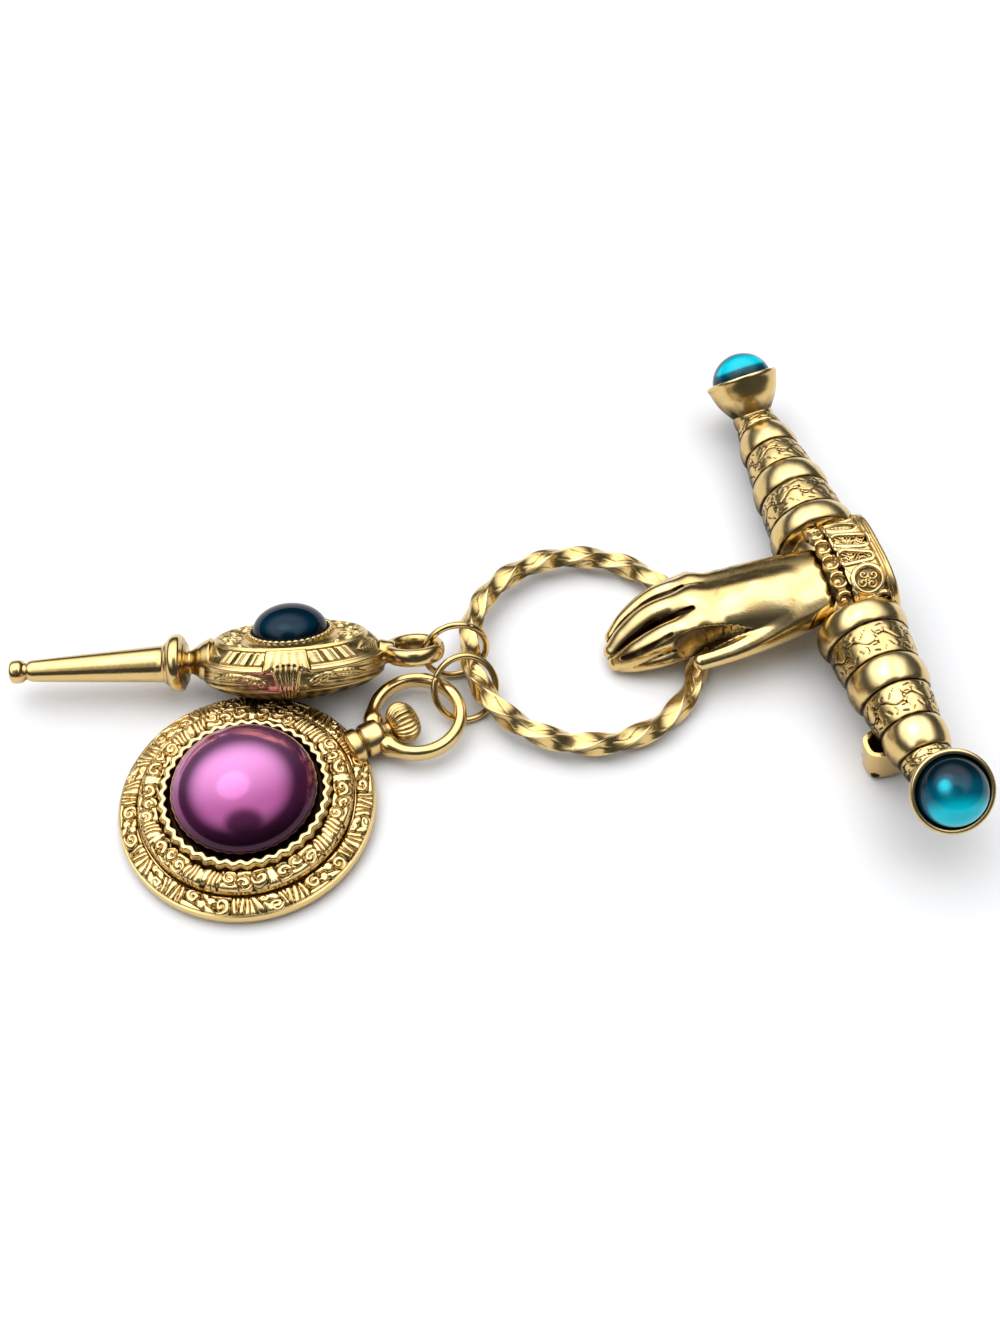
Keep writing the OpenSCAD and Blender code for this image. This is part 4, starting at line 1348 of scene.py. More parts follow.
@dataclass
class JumpRing:
    """Round wire bent to a circle, with a small cut between its square ends.

    Attributes:
        name, node: Names of the piece and CAD node.
        at, normal: Centre and axis in the layout frame.
        r, wire: Centre-line radius and wire diameter.
        cut, half_cut: Angle of the cut in degrees, and half its width.
    """

    name: str
    node: Node
    at: tuple
    normal: tuple
    r: float
    cut: float
    wire: float = 0.95
    half_cut: float = 0.09

    def build(self, b: Builder) -> None:
        """Sweeps a circle of wire from one end of the cut round to the other."""
        gap, count = self.half_cut / self.r, 180
        a, s = np.linspace(gap, 2 * np.pi - gap, count)[:, None], circle(22)
        ends = np.minimum(np.arange(count), np.arange(count)[::-1])[:, None]
        w = self.wire / 2 * unit(0.86 + 0.14 * ends / 2) * (1 + 0.012 * np.sin(5 * a))
        rr = self.r + w * np.cos(s)
        p = xyz(rr * np.cos(a), rr * np.sin(a), w * np.sin(s))
        rel = 0.60 + 0.15 * lumps(p, 2.5, 21) - 0.3 * (ends < 3)
        m = LAYOUT.origin() @ shift(*self.at) @ facing(self.normal) @ turn("z", self.cut)
        b.piece(self.name, [Grid(p, rel)], m, "gold_smooth", self.node)


@dataclass
class KeyCharm:
    """Oval watch-key charm: relief body, stone turret, shaft with collar, and eye.

    Attributes:
        half_l, half_w: Half axes of the oval body.
        stone_r, seat: Radius of the stone and height of its seat.
        top: Scale of the ellipse round the top face.
        blocks_to: How far the blocks of the upper flank reach from its middle, along the rim.
        tip: Length from the body's middle to the tip.
        collar_r: Radius of the collar.
        eye_x, eye_r, eye_w, eye_h: Place, radius and half sizes of the eye's section.
    """

    half_l: float = 12.9
    half_w: float = 7.6
    stone_r: float = 5.1
    seat: float = 2.6
    tip: float = 38.5
    collar_r: float = 4.0
    eye_x: float = 16.6
    eye_r: float = 3.4
    eye_w: float = 0.87
    eye_h: float = 1.2
    top: float = 0.775
    blocks_to: float = 10.4

    def body(self) -> Grid:
        """Ellipses of scale rho at height n from the back to the rim, blended to the round turret."""
        side = resample([(0.02, -4.95), (0.3, -4.9), (0.58, -4.6), (0.82, -3.6), (0.94, -2.5), (0.98, -1.7),
                         (0.99, -0.5), (0.985, 0.45), (0.97, 0.8), (0.80, 3.1), (self.top, 3.3)],
                        96, rounding=1)
        th, rows = circle(560), 26
        cos_t, sin_t = np.cos(th), np.sin(th)
        rho, n = side[:, :1], side[:, 1:]
        p_side = xyz(self.half_l * rho * cos_t, self.half_w * rho * sin_t, n)
        inner = np.array([(0.15, 3.12), (0.3, 3.0), (0.5, 2.98), (0.7, 3.0), (0.88, 3.05), (0.97, 3.4),
                          (1.0, 3.92), (1.02, 4.1)])
        at = np.linspace(0, 1, rows)
        mixes, level = [np.interp(at, np.linspace(0, 1, len(inner)), v)[:, None] for v in inner.T]
        turret, bore, w = self.stone_r + 0.72, self.stone_r + 0.12, unit(mixes)
        p_top = xyz(self.half_l * self.top * cos_t * (1 - w) + turret * cos_t * w,
                    self.half_w * self.top * sin_t * (1 - w) + turret * sin_t * w, level)
        lip = np.array([(turret - 0.12, 4.16), (self.stone_r + 0.45, 4.2), (self.stone_r + 0.2, 4.12),
                        (bore, 3.9), (bore, self.seat + 0.05), (2.0, self.seat + 0.05), (0.02, self.seat + 0.05)])
        p_lip = xyz(lip[:, :1] * cos_t, lip[:, :1] * sin_t, lip[:, 1:])
        p = np.concatenate([p_side, p_top, p_lip], 0)
        part = np.repeat([0, 1, 2], [len(side), rows, len(lip)])[:, None]
        mix = np.zeros((len(p), 1))
        mix[len(side):len(side) + rows] = mixes
        return Grid(p).raised(*self.relief(p, part, th, mix))

    def relief(self, p: Array, part: Array, th: Array, mix: Array) -> tuple:
        """Relief of the body, from place round the rim and level.

        Args:
            p: Points of the body.
            part: 0 on the side, 1 on the top face and 2 on the turret's lip, for each row.
            th: Angle of each column.
            mix: Blend from the ellipse to the turret, for each row.

        Returns:
            Height in millimetres and relief value.
        """
        x, y, n = np.moveaxis(p, 2, 0)
        side = part == 0
        q = np.cumsum(np.r_[0, np.hypot(self.half_l * np.diff(np.cos(th)), self.half_w * np.diff(np.sin(th)))])
        quarter, half_way = q[-1] / 4, q[-1] / 2
        u = fold(q - quarter, half_way) + 0 * x
        h, rel = np.zeros_like(x), np.full_like(x, 0.78)
        for dh, drel in (self.upper_flank(u, np.abs(fold(q, half_way)), n, side),
                         self.side_band(np.abs(u), n, side)):
            h, rel = h + dh, rel + drel
        h, rel = self.middle(h, rel, u, n, side)
        spokes, back = 0.5 + 0.5 * np.cos(24 * np.arctan2(y, x)), smoothstep(-2.4, -2.8, n) * side
        h, rel = h + back * 0.08 * spokes, rel + back * (0.25 * spokes - 0.2)
        zone = (part == 1) * smoothstep(0.05, 0.25, mix) * smoothstep(0.95, 0.8, mix)
        h, rel = self.top_face(h, rel, x, y, zone)
        beads, lip = np.abs(np.sin(th * 20)) ** 0.6, (part > 0) & (n > 3.8)
        h = h + lip * (0.16 * beads - 0.10)
        rel = np.where(lip, 0.3 + 0.7 * beads, rel)
        # painted shade in the bore and seat round the stone
        rel = np.where((part == 2) & (n < 3.8), 0.05, rel)
        # painted shade: darker towards the back on the lower flank
        rel = rel + 0.08 * lumps(p, 1.5, 31) - 0.24 * smoothstep(-0.6, -2.2, n) * side
        return h * (np.hypot(x / self.half_l, y / self.half_w) > 0.02), unit(rel)

    def upper_flank(self, u: Array, from_end: Array, n: Array, side: Array) -> tuple:
        """Slanting blocks in a frame, and a leaf at each end of the oval.

        Args:
            u: Arc length from the middle of the flank.
            from_end: Arc length from the end of the oval.
            n: Level.
            side: True on the side of the body.

        Returns:
            Added height and relief.
        """
        slope = smoothstep(0.85, 1.05, n) * smoothstep(3.25, 3.0, n) * side
        t = n - 2.02
        across = fold(np.abs(u) - 4.3 + 0.35 * t * np.sign(u) ** 2, 2.45)
        blocks = smoothstep(1.16, 0.92, np.abs(across)) * (1 - 0.35 * ridge(across - 0.2, 0.2))
        border = ridge(np.abs(t) - 0.98, 0.16)
        bars = blocks * (np.abs(u) < self.blocks_to) * smoothstep(0.86, 0.7, np.abs(t))
        tip = (np.abs(u) >= self.blocks_to) * leaf(from_end, t, (0.1, 0.0), (5.2, 0.0), 0.9)
        return (slope * (0.30 * bars + 0.2 * border - 0.16 + 0.26 * tip),
                slope * (0.72 * np.maximum(bars, border) - 0.56 + 0.5 * tip))

    @staticmethod
    def side_band(out: Array, n: Array, side: Array) -> tuple:
        """Leaves on hatched ground between two beads, by arc length from the flank's middle and level."""
        band = smoothstep(-2.4, -1.9, n) * smoothstep(0.6, 0.3, n) * smoothstep(2.4, 3.2, out) * side
        edge = np.maximum(ridge(n - 0.55, 0.3), ridge(n + 2.4, 0.28)) * side
        v = (n + 0.85) / 1.35
        stems = np.maximum(leaf(out, v, (2.6, -0.5), (6.4, 0.55), 0.55),
                           leaf(out, v, (6.0, 0.5), (11.0, -0.1), 0.5))
        hatch = 0.5 + 0.5 * np.cos(2 * np.pi * (out * 0.11 + v * 2.2))
        return (band * (0.26 * stems - 0.06 + 0.04 * hatch) + 0.14 * edge,
                band * (0.4 * stems - 0.32 + 0.25 * hatch) + 0.2 * edge)

    @staticmethod
    def middle(h: Array, rel: Array, u: Array, n: Array, side: Array) -> tuple:
        """Height and relief with the flutes that widen upwards and the draped hood over them."""
        out = np.abs(u)
        half = np.interp(n, [-4.0, -1.0, 1.2, 2.6], [0.9, 1.45, 2.0, 2.5])
        flutes = np.abs(np.cos(np.pi * 2.5 * (u / half + 1) + np.pi / 2)) ** 0.6
        reach = smoothstep(1.04, 0.94, out / half) * smoothstep(-3.6, -3.1, n) * smoothstep(2.5, 2.2, n) * side
        h = h * (1 - reach) + reach * (0.10 + 0.34 * flutes)
        rel = rel * (1 - reach) + reach * (0.12 + 0.85 * flutes)
        drape = 1.35 - 0.10 * u ** 2
        hood = smoothstep(drape - 0.15, drape + 0.1, n) * smoothstep(3.1, 2.9, n) * side
        hood = smoothstep(3.4, 3.1, out) * hood
        folds = 0.65 + 0.35 * np.cos(2 * np.pi * u / 1.15)
        h = h * (1 - hood) + hood * (0.30 + 0.14 * folds * smoothstep(2.8, 1.4, n))
        rel = unit(rel * (1 - hood) + hood * (0.55 + 0.45 * folds))
        # dark line just under the hood's lower edge: painted shade
        return h, rel - 0.6 * ridge(n - drape + 0.1, 0.16) * (out < 3.3) * side

    @staticmethod
    def top_face(h: Array, rel: Array, x: Array, y: Array, zone: Array) -> tuple:
        """Height and relief with the curls and leaves outside the turret."""
        zone, x, y = zone * smoothstep(6.2, 7.0, np.hypot(x, y)), np.abs(x), np.abs(y)
        curls = np.maximum.reduce([scroll(x, y, (7.9, 1.45), 1.25, 0.8, -1),
                                   scroll(x, y, (6.5, 3.6), 0.85, 0.6, 1),
                                   leaf(x, y, (6.4, 0.0), (9.6, 0.0), 0.7)])
        return h + zone * (0.4 * curls - 0.1), rel + zone * (0.75 * curls - 0.5)

    def shaft(self) -> Grid:
        """Neck, double collar, tapered tube and hollow tip, turned about the key's axis."""
        c, n = self.collar_r, self.tip
        outline = resample([(0.02, 9.0), (3.4, 10.6), (2.6, 12.4), (1.75, 13.5), (1.62, 13.95), (1.9, 14.25),
                            (2.9, 14.45), (3.0, 14.7), (c - 0.5, 14.8), (c - 0.08, 15.1), (c, 15.7),
                            (c - 0.12, 16.3), (c - 0.5, 16.7), (3.2, 16.8), (3.0, 16.95), (2.95, 17.25),
                            (2.62, 17.4), (2.5, 18.2), (1.52, n - 3.1), (1.38, n - 2.5), (1.16, n - 2.3),
                            (1.14, n - 1.95), (1.38, n - 1.72), (1.6, n - 1.4), (1.62, n - 0.5), (1.45, n - 0.08),
                            (1.2, n), (0.86, n - 0.02), (0.72, n - 0.15), (0.70, n - 1.15), (0.02, n - 1.15)],
                           260, rounding=1)
        p = revolve(outline, 84).points[..., ::-1] * (-1, 1, 1)
        r, z = outline.T
        rel = 0.84 - 0.35 * smoothstep(14.2, 12.5, z)
        for depth, at, width in ((0.5, 14.55, 0.5), (0.45, 16.9, 0.45), (0.5, n - 2.15, 0.4)):
            rel = rel - depth * ridge(z - at, width)
        # painted shade inside the hollow tip
        rel = np.where((r < 1.1) & (z > n - 1.4), 0.05, rel)
        return Grid(p, rel[:, None] + 0.07 * lumps(p, 5.0, 33))

    def eye(self) -> tuple:
        """Ring with a tall oval section, and the short neck that carries it."""
        a, s = circle(150)[:, None], circle(36)
        cos_s, sin_s = squared(s, 0.85)
        thin = np.minimum(1 - 0.10 * np.cos(a), 1.0)
        rr = self.eye_r + self.eye_w * cos_s * thin
        p = xyz(self.eye_x + rr * np.cos(a), rr * np.sin(a), self.eye_h * sin_s)
        # painted shade on the inner face of the eye
        rel = PLAIN_RELIEF - 0.45 * smoothstep(0.2, -0.9, np.cos(s)) + 0.1 * lumps(p, 2.6, 35)
        neck = revolve(resample([(0.02, 11.6), (1.9, 11.9), (1.6, 12.9), (1.5, 13.5), (1.3, 14.1), (0.02, 14.2)],
                                30, rounding=1), 40)
        return Grid(p, rel, wrap=True), Grid(neck.points[..., ::-1], 0.5)

    def build(self, b: Builder) -> None:
        """Makes the body, the shaft and the eye."""
        m = LAYOUT.key()
        for name, grids, finish, sharp in (("key_body", [self.body().above(m, 0.03)], "gold_deep", 70),
                                           ("key_shaft", [self.shaft()], "gold_smooth", 40),
                                           ("key_eye", self.eye(), "gold_smooth", 50)):
            b.piece(name, grids, m, finish, Node.KEY_CHARM, sharp)


@dataclass
class WatchCharm:
    """Pocket-watch charm: case with two relief rings, waved bezel, neck, crown and bow.

    Attributes:
        r: Radius of the rim.
        rim_top, step_top, band_top, bezel_top, seat: Levels above the surface.
        drift: How far the hand-cut lines of the two rings wander.
        waves: Waves round the bezel.
        axis_z: Height of the neck's axis.
        bow_at, bow_r, bow_w, bow_h: Place and radius of the bow, and half sizes of its section.
    """

    r: float = 16.95
    rim_top: float = 2.3
    step_top: float = 2.9
    band_top: float = 4.4
    bezel_top: float = 5.3
    seat: float = 3.6
    waves: int = 38
    axis_z: float = 2.75
    bow_at: float = 25.49
    bow_r: float = 5.95
    bow_w: float = 0.88
    bow_h: float = 1.1
    drift: float = 0.2

    def carved(self, q: Array, v: Array, mid: float, cells: int) -> tuple:
        """Cell coordinates of a relief ring: alternate cells are mirrored and all lines wander a little.

        Args:
            q: Arc length round the ring.
            v: Radial place.
            mid: Radius of the arc length.
            cells: Number of cells round the ring.

        Returns:
            Place along the cell, and radial place.
        """
        cell = 2 * np.pi * mid / cells
        p = xyz(mid * np.cos(q / mid), mid * np.sin(q / mid), v)
        q = q + self.drift * lumps(p, 2.6, 51)
        v = v + self.drift * 0.8 * lumps(p, 2.9, 52)
        flip = np.where(np.mod(np.round(q / cell), 2) < 0.5, 1.0, -1.0)
        return fold(q, cell) * flip, v * flip

    def outer_relief(self, q: Array, v: Array) -> Array:
        """Ribbed wedges between fanned leaves, curls and buttons; v runs from -1.3 inside to 1.3 outside."""
        x, v = self.carved(q, v, 15.35, 12)
        strokes = [segment(x, v, (0.1 * k, 1.3), (0.62 * k, -1.2)) - 0.08 for k in (-1, 0, 1)]
        strokes += [segment(x, v, (1.35 + 0.25 * k, -0.95), (1.25 + 0.72 * k, 1.15 - 0.15 * k * k)) - 0.1
                    for k in range(3)]
        strokes += [spiral(x, v, (-2.15, 0.2), 0.85, 0.8, 1) - 0.1, spiral(x, v, (3.3, -0.65), 0.5, 0.6, -1) - 0.1,
                    segment(x, v, (-3.3, -1.15), (-1.0, -1.0)) - 0.1, segment(x, v, (3.3, 0.25), (4.0, 1.0)) - 0.1,
                    segment(x, v, (-3.1, 1.1), (-4.0, 0.75)) - 0.12, np.hypot(x + 3.4, v + 0.35) - 0.3]
        return packed(strokes)

    def inner_relief(self, q: Array, v: Array) -> Array:
        """C-scrolls with buttons, long leaves and short gadroons; v runs from -1.3 inside to 1.3 outside."""
        x, v = self.carved(q, v, 12.75, 9)
        strokes = [spiral(x, v, (-2.95, 0.1), 1.0, 0.95, 1) - 0.12, spiral(x, v, (-0.9, -0.45), 0.7, 0.75, -1) - 0.1,
                   spiral(x, v, (0.95, 0.35), 0.72, 0.75, 1) - 0.1, np.hypot(x - 1.9, v - 1.05) - 0.14,
                   arc(x, v, (-1.15, 0.1), 1.15, 45, 150) - 0.12, arc(x, v, (0.75, 0.1), 1.2, 215, 320) - 0.12,
                   segment(x, v, (-4.3, -1.0), (-4.1, 1.0)) - 0.12]
        strokes += [segment(x, v, (2.35 + 0.58 * k, -0.85 + 0.2 * (k - 1.5) ** 2), (2.15 + 0.58 * k, 0.85)) - 0.08
                    for k in range(4)]
        return packed(strokes)

    @staticmethod
    def ring(profile: Sequence[tuple], count: int, mid: float, half: float, pattern: Callable,
             top: Callable) -> Grid:
        """A closed ring swept about Z whose upper face carries a relief pattern.

        Args:
            profile: Closed (r, z) outline.
            count: Grid size round the ring.
            mid, half: Middle radius of the pattern and half its width.
            pattern: Function of arc length and radial place that gives the height from 0 to 1.
            top: Function of radius that gives the level of the upper face.

        Returns:
            The grid.
        """
        depth, rows = 0.5, 78
        p = revolve(resample(profile, rows, closed=True, rounding=1), count).points
        x, y, z = np.moveaxis(p, 2, 0)
        rad, ang = np.hypot(x, y), np.arctan2(y, x)
        v = (rad - mid) / half * 1.3
        h = unit(pattern(ang * mid, v))
        face = smoothstep(1.42, 1.12, np.abs(v)) * (z > top(rad) - 0.12)
        relief = 0.84 + face * (1.02 * h ** 0.9 - 0.84) + 0.04 * lumps(p, 1.6, 41)
        return Grid(xyz(x, y, z + face * depth * (h - 0.55)), unit(relief), wrap=True)

    def case(self) -> Grid:
        """Back and rim of the case, a shallow disc turned about Z."""
        r = self.r
        outline = resample([(0.02, 0.0), (r - 1.5, 0.0), (r - 0.5, 0.35), (r - 0.06, 0.9), (r, 1.35),
                            (r - 0.06, 1.9), (r - 0.35, self.rim_top - 0.05), (r - 0.6, self.rim_top - 0.35),
                            (13.9, 2.0), (10.2, 3.1), (10.15, self.seat + 0.02), (0.02, self.seat + 0.02)],
                           110, rounding=1)
        p, (rad, z) = revolve(outline, 240).points, outline.T
        # painted shade: the seat round the stone dark, and the bottom face a little darker
        rel = np.where(z < 0.3, 0.7, 0.85) - 0.85 * (rad < 10.6) * (z > 2.5)
        return Grid(p, unit(rel)[:, None] + 0.06 * lumps(p, 4.0, 43))

    def bezel(self) -> Grid:
        """Waved wall: the radius of each point of the section follows 0.19 cos(waves * angle)."""
        lo, hi = self.seat - 0.2, self.bezel_top
        outline = resample([(10.1, lo), (10.15, lo + 0.6), (10.15, hi - 0.35), (10.28, hi - 0.06), (10.6, hi),
                            (10.95, hi - 0.08), (11.12, hi - 0.45), (11.5, self.band_top - 0.35),
                            (11.5, self.band_top - 0.9), (10.6, lo)], 44, closed=True, rounding=1)
        x, y, z = np.moveaxis(revolve(outline, self.waves * 22).points, 2, 0)
        a = np.arctan2(y, x)
        wave = 0.19 * np.cos(self.waves * a) * smoothstep(self.seat + 0.1, self.seat + 0.9, z)
        rad = np.hypot(x, y) + wave
        # bright only on the top of the bezel: painted shade on its lower wall and in the gap round the stone
        rel = 0.95 * smoothstep(self.band_top - 0.1, hi - 0.25, z) * smoothstep(9.8, 10.12, rad)
        return Grid(xyz(rad * np.cos(a), rad * np.sin(a), z), rel, wrap=True)

    def neck(self) -> Grid:
        """Stepped neck between the rim and the crown, turned about the charm's X axis."""
        r = self.r
        outline = resample([(0.02, r - 2.2), (2.4, r - 2.0), (2.45, r - 0.35), (2.05, r + 0.0), (2.0, r + 0.25),
                            (2.3, r + 0.4), (2.36, r + 0.9), (2.38, r + 1.6), (2.36, r + 2.5), (2.28, r + 2.85),
                            (2.0, r + 3.0), (1.6, r + 3.1), (1.5, r + 3.5), (1.3, r + 3.9), (1.2, r + 4.4),
                            (0.02, r + 4.6)], 120, rounding=1)
        p = revolve(outline, 60).points[..., ::-1] * (1, 1, 0.98) + (0, 0, self.axis_z)
        z = outline[:, 1]
        rel = 0.88 - 0.65 * ridge(z - (r + 0.12), 0.25) - 0.6 * ridge(z - (r + 3.2), 0.3)
        return Grid(p, rel[:, None] + 0.05 * lumps(p, 3.0, 45))

    def crown(self) -> Grid:
        """Oval knob: an ellipsoid whose section is ribbed by a cosine of the angle round its axis."""
        at, half_l, half_w, half_h, ribs = 23.4, 2.05, 3.05, 2.55, 24
        u, a = np.linspace(-88, 88, 70)[:, None], circle(230)
        flute = 0.5 + 0.5 * np.cos(ribs * a)
        mask = smoothstep(-86, -50, u) * smoothstep(84, 40, u)
        u = np.radians(u)
        k = np.cos(u) ** 0.75 * (1 - 0.10 * (1 - flute ** 0.7) * mask)
        p = xyz(at + half_l * np.sin(u), half_w * k * np.cos(a), self.axis_z + 0.1 + half_h * k * np.sin(a))
        return Grid(p, 0.35 + 0.6 * flute * mask + 0.25 * (1 - mask))

    def bow(self) -> Grid:
        """Ring with a tall rounded section, (w cos s, h sin s) squared off, thicker at its two shoulders."""
        a, shoulder = circle(240)[:, None], np.radians(22)
        swell = np.exp(-((np.abs(fold(a - np.pi, 2 * np.pi)) - shoulder) / 0.2) ** 2)
        cos_s, sin_s = squared(circle(44), 0.8)
        rr = self.bow_r + (self.bow_w + 0.48 * swell) * cos_s
        z = self.axis_z + (self.bow_h + 0.42 * swell) * sin_s
        p = xyz(self.bow_at + rr * np.cos(a), rr * np.sin(a), z)
        return Grid(p, 0.86 + 0.06 * lumps(p, 3.4, 47), wrap=True)

    def build(self, b: Builder) -> None:
        """Makes the case, its rings, bezel, neck, crown and bow."""
        rt, st, bt = self.rim_top, self.step_top, self.band_top
        outer = self.ring([(self.r - 0.45, 1.9), (self.r - 0.3, rt - 0.1), (self.r - 0.6, rt + 0.05),
                           (16.0, rt + 0.15), (15.0, st - 0.1), (14.45, st - 0.1), (14.3, st - 0.5), (14.25, 2.0)],
                          860, 15.4, 1.3, self.outer_relief,
                          lambda q: np.interp(q, [14, 17], [st - 0.35, rt - 0.3]))
        inner = self.ring([(14.2, 2.2), (14.1, 3.5), (13.8, bt - 0.35), (13.2, bt - 0.1), (12.2, bt - 0.02),
                           (11.4, bt - 0.2), (11.2, bt - 0.6), (11.2, 2.6)],
                          820, 12.72, 1.38, self.inner_relief, lambda q: bt - 0.75)
        for name, grids, finish, sharp in (("case", [self.case()], "gold_smooth", 40),
                                           ("outer_ring", [outer], "gold_deep", 80),
                                           ("inner_ring", [inner], "gold_deep", 80),
                                           ("bezel", [self.bezel()], "gold_cast", 70),
                                           ("neck", [self.neck(), self.crown()], "gold_cast", 50),
                                           ("bow", [self.bow()], "gold_smooth", 50)):
            b.piece(f"watch_{name}", grids, LAYOUT.watch(), finish, Node.WATCH_CHARM, sharp)


# ---------------------------------------------------------------- stage


@dataclass
class Studio:
    """Pale floor, soft lights and the camera at the photo's viewpoint.

    Attributes:
        camera_at: Camera position in the layout frame, in millimetres.
        pitch: Tilt of the camera from straight down, in degrees.
        lens: Focal length for a 36 mm sensor on the long side.
        tent_axis, tent_edge, tent_glow: Axis of the tent, cosines of its fading edge, and its dim and full glow.
        tent_colour: Linear colour of the tent.
        shade_axis, shade_edge, shade_glow: The dark opening, the cosines of its edge, and its share of the glow.
        floor_half, floor_level: Half the floor's side and its level, in metres.
        floor_greys, floor_rough, floor_grain: Greys, roughness and noise scale of the floor's sheet.
        spot_at, spot_size, spot_watts: Place in metres, diameter and power of the lamp.
    """

    camera_at: tuple = (0.0, -129.26, 184.60)
    pitch: float = 35.0
    lens: float = 43.21
    tent_axis: tuple = (-0.14, 0.12, 0.98)
    tent_edge: tuple = (0.42, 0.84)
    tent_glow: tuple = (0.07, 2.15)
    shade_axis: tuple = (0.0, -0.574, 0.819)
    tent_colour: tuple = (0.97, 0.98, 1.0, 1)
    shade_edge: tuple = (0.885, 0.97)
    shade_glow: float = 0.09
    floor_half: float = 2.5
    floor_level: float = -0.00002
    floor_greys: tuple = (0.94, 0.97)
    floor_rough: float = 0.85
    floor_grain: float = 40.0
    spot_at: tuple = (-0.16, 0.10, 0.55)
    spot_size: float = 0.30
    spot_watts: float = 0.26

    @staticmethod
    def place(name: str, data: bpy.types.ID) -> bpy.types.Object:
        """Puts an object with the data into the scene."""
        obj = bpy.data.objects.new(name, data)
        bpy.context.scene.collection.objects.link(obj)
        return obj

    def floor(self) -> None:
        """Large matt sheet under the brooch."""
        g = np.array([(-1, -1), (1, -1), (1, 1), (-1, 1)], float) * self.floor_half
        mesh = bpy.data.meshes.new("floor")
        mesh.from_pydata(np.c_[g, np.full(4, self.floor_level)], [], [(0, 1, 2, 3)])
        m = bpy.data.materials.new("floor_paper")
        m.use_nodes = True
        t, bsdf = Tree(m.node_tree), m.node_tree.nodes["Principled BSDF"]
        bsdf.inputs["Roughness"].default_value = self.floor_rough
        noise = t.add("ShaderNodeTexNoise", in_2=self.floor_grain)
        t.link(t.mix(noise.outputs[0], *((grey, grey, grey, 1) for grey in self.floor_greys)),
               bsdf.inputs["Base Color"])
        mesh.materials.append(m)
        self.place("floor", mesh)

    def lamp(self) -> None:
        """Round soft lamp aimed at the middle of the floor."""
        data = bpy.data.lights.new("key_spot", "AREA")
        data.shape, data.size, data.energy = "DISK", self.spot_size, self.spot_watts
        obj = self.place("key_spot", data)
        obj.location = self.spot_at
        obj.rotation_euler = (-Vector(self.spot_at)).to_track_quat("-Z", "Y").to_euler()

    def tent(self) -> None:
        """White tent overhead that is dim towards its sides: brightness by the angle from its axis."""
        world = bpy.data.worlds.new("studio")
        bpy.context.scene.world = world
        world.use_nodes = True
        t, back = Tree(world.node_tree), world.node_tree.nodes["Background"]
        at, glow = t.add("ShaderNodeTexCoord").outputs["Generated"], []
        for axis, edge, low, high in ((self.tent_axis, self.tent_edge, *self.tent_glow),
                                      (self.shade_axis, self.shade_edge, 1.0, self.shade_glow)):
            dot = t.add("ShaderNodeVectorMath", operation="DOT_PRODUCT", in_1=axis)
            t.link(at, dot.inputs[0])
            ramp = t.add("ShaderNodeMapRange", interpolation_type="SMOOTHSTEP", in_1=edge[0], in_2=edge[1],
                         in_3=low, in_4=high)
            t.link(dot.outputs["Value"], ramp.inputs[0])
            glow.append(ramp.outputs[0])
        back.inputs[0].default_value = self.tent_colour
        t.link(t.math("MULTIPLY", *glow), back.inputs[1])

    def build(self) -> None:
        """Makes floor, world, lamp and camera."""
        self.floor()
        self.tent()
        self.lamp()
        bpy.context.scene.view_settings.view_transform = "Standard"
        data = bpy.data.cameras.new("photo_view")
        data.sensor_width, data.lens, data.clip_start = 36.0, self.lens, 0.01
        cam = self.place("photo_view", data)
        cam.location = LAYOUT.origin()[:3] @ (*self.camera_at, 1) * MM
        cam.rotation_euler = (np.radians(self.pitch), 0, 0)
        bpy.context.scene.camera = cam


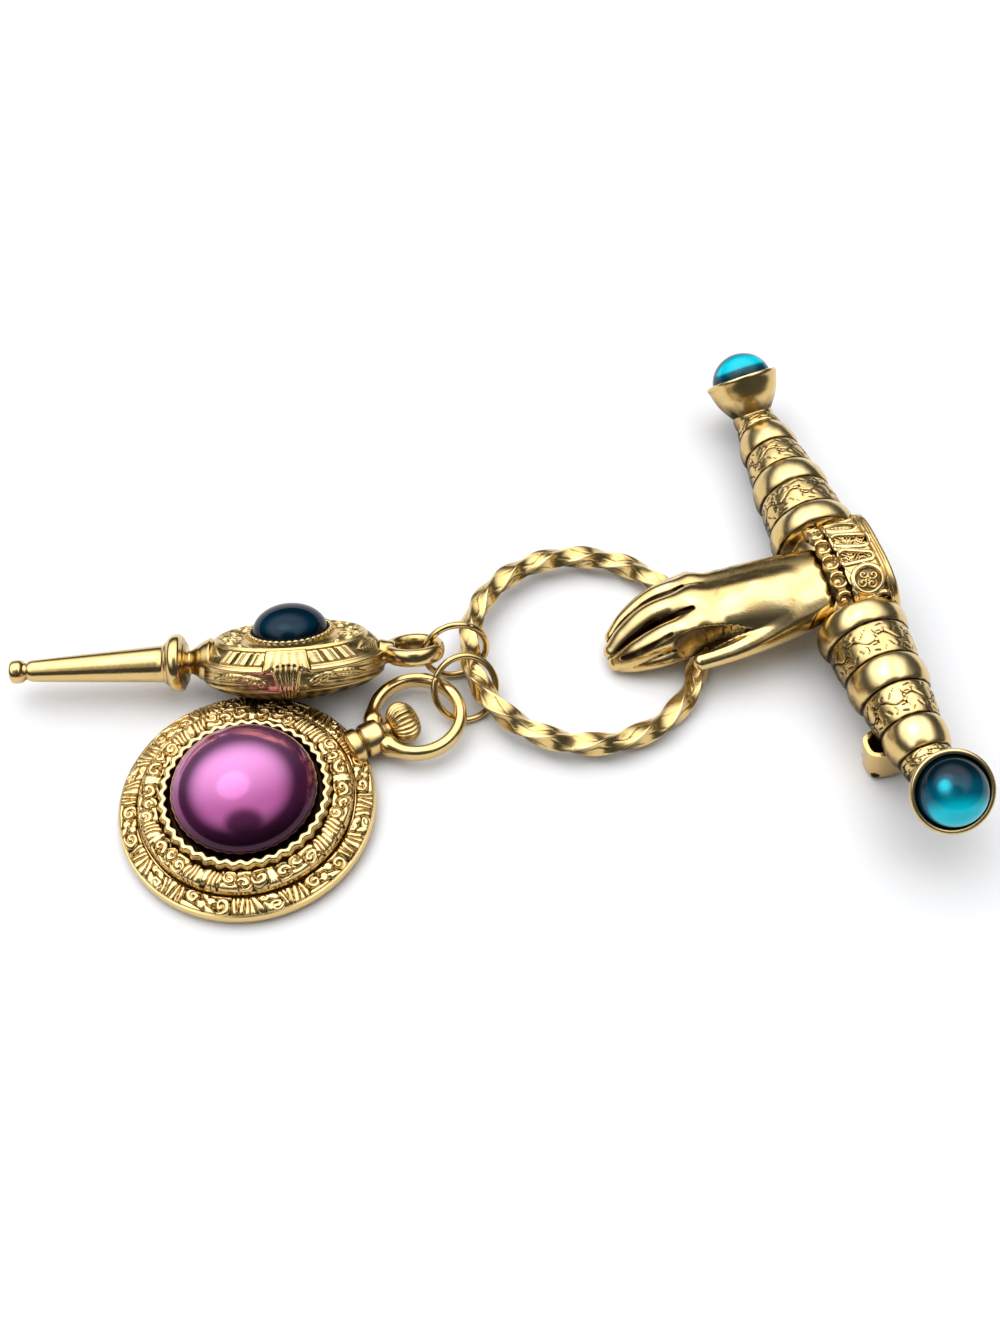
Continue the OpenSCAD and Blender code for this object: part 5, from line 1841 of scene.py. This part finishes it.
def stones(bar: Bar, key: KeyCharm, watch: WatchCharm) -> list:
    """The four cabochons, from the sizes of their seats.

    Args:
        bar: The bar, for its cups.
        key: The key charm, for its turret.
        watch: The watch charm, for its seat.

    Returns:
        One Cabochon for each stone.
    """
    out = []
    # painted light on the teal stones: a painted glow on both, and on the near one a painted reflection of the foil
    # and painted shade at the rim
    near = {"glow_to": (0.1, -0.9, -0.35), "glow_gain": 1.3, "glow_power": 1.8, "spot_gain": 0.6,
            "rim_shade": 0.6}
    for side, node, tilt, look in ((1, Node.NEAR_CABOCHON, bar.near_tilt, near),
                                   (-1, Node.FAR_CABOCHON, bar.far_tilt, {"glow_gain": 2.6})):
        cup = LAYOUT.cup(side, bar.half, bar.axis_h, tilt)
        out.append(Cabochon(f"{node.value}_glass", node, Slot.TEAL, "teal_stone", cup,
                            bar.cup_len - 2.7 + SEAT_GAP, 4.5, 2.1, 4.3, **look))
    # key stone: painted glow with painted shade at the rim
    out.append(Cabochon("key_cabochon_glass", Node.KEY_CABOCHON, Slot.DARK_TEAL, "dark_teal_stone", LAYOUT.key(),
                        key.seat + SEAT_GAP, key.stone_r, 1.1, 3.6))
    # purple stone: painted glow over its upper part, standing for the reflection of the overhead light
    out.append(Cabochon("watch_cabochon_glass", Node.WATCH_CABOCHON, Slot.PURPLE, "purple_stone", LAYOUT.watch(),
                        watch.seat + SEAT_GAP, 9.7, 1.1, 5.75, glow_to=(-0.25, 0.75, 0.9), glow_gain=1.12,
                        rim_shade=0.3))
    return out


def main() -> None:
    """Builds every sub-assembly, reports each piece and hands the scene to the frame."""
    logging.basicConfig(level=logging.INFO, format="%(name)s %(message)s", stream=sys.stdout)
    builder = Builder(Finishes())
    bar, key, watch = Bar(), KeyCharm(), WatchCharm()
    rings = [JumpRing("key_jump_ring_wire", Node.KEY_JUMP_RING, (-6.163, -0.514, 4.693),
                      (0.209, -0.942, 0.264), 4.35, 150),
             JumpRing("watch_jump_ring_wire", Node.WATCH_JUMP_RING, (-4.764, -6.017, 3.495),
                      (0.297, -0.611, 0.734), 4.4, 230)]
    for part in [bar, Hand(), PinBack(), TwistedRing(), *rings, key, watch, *stones(bar, key, watch)]:
        part.build(builder)
    Studio().build()
    LOG.info("%d pieces, %d faces", len(builder.made), sum(len(o.data.polygons) for o in builder.made))


if __name__ == "__main__":
    main()
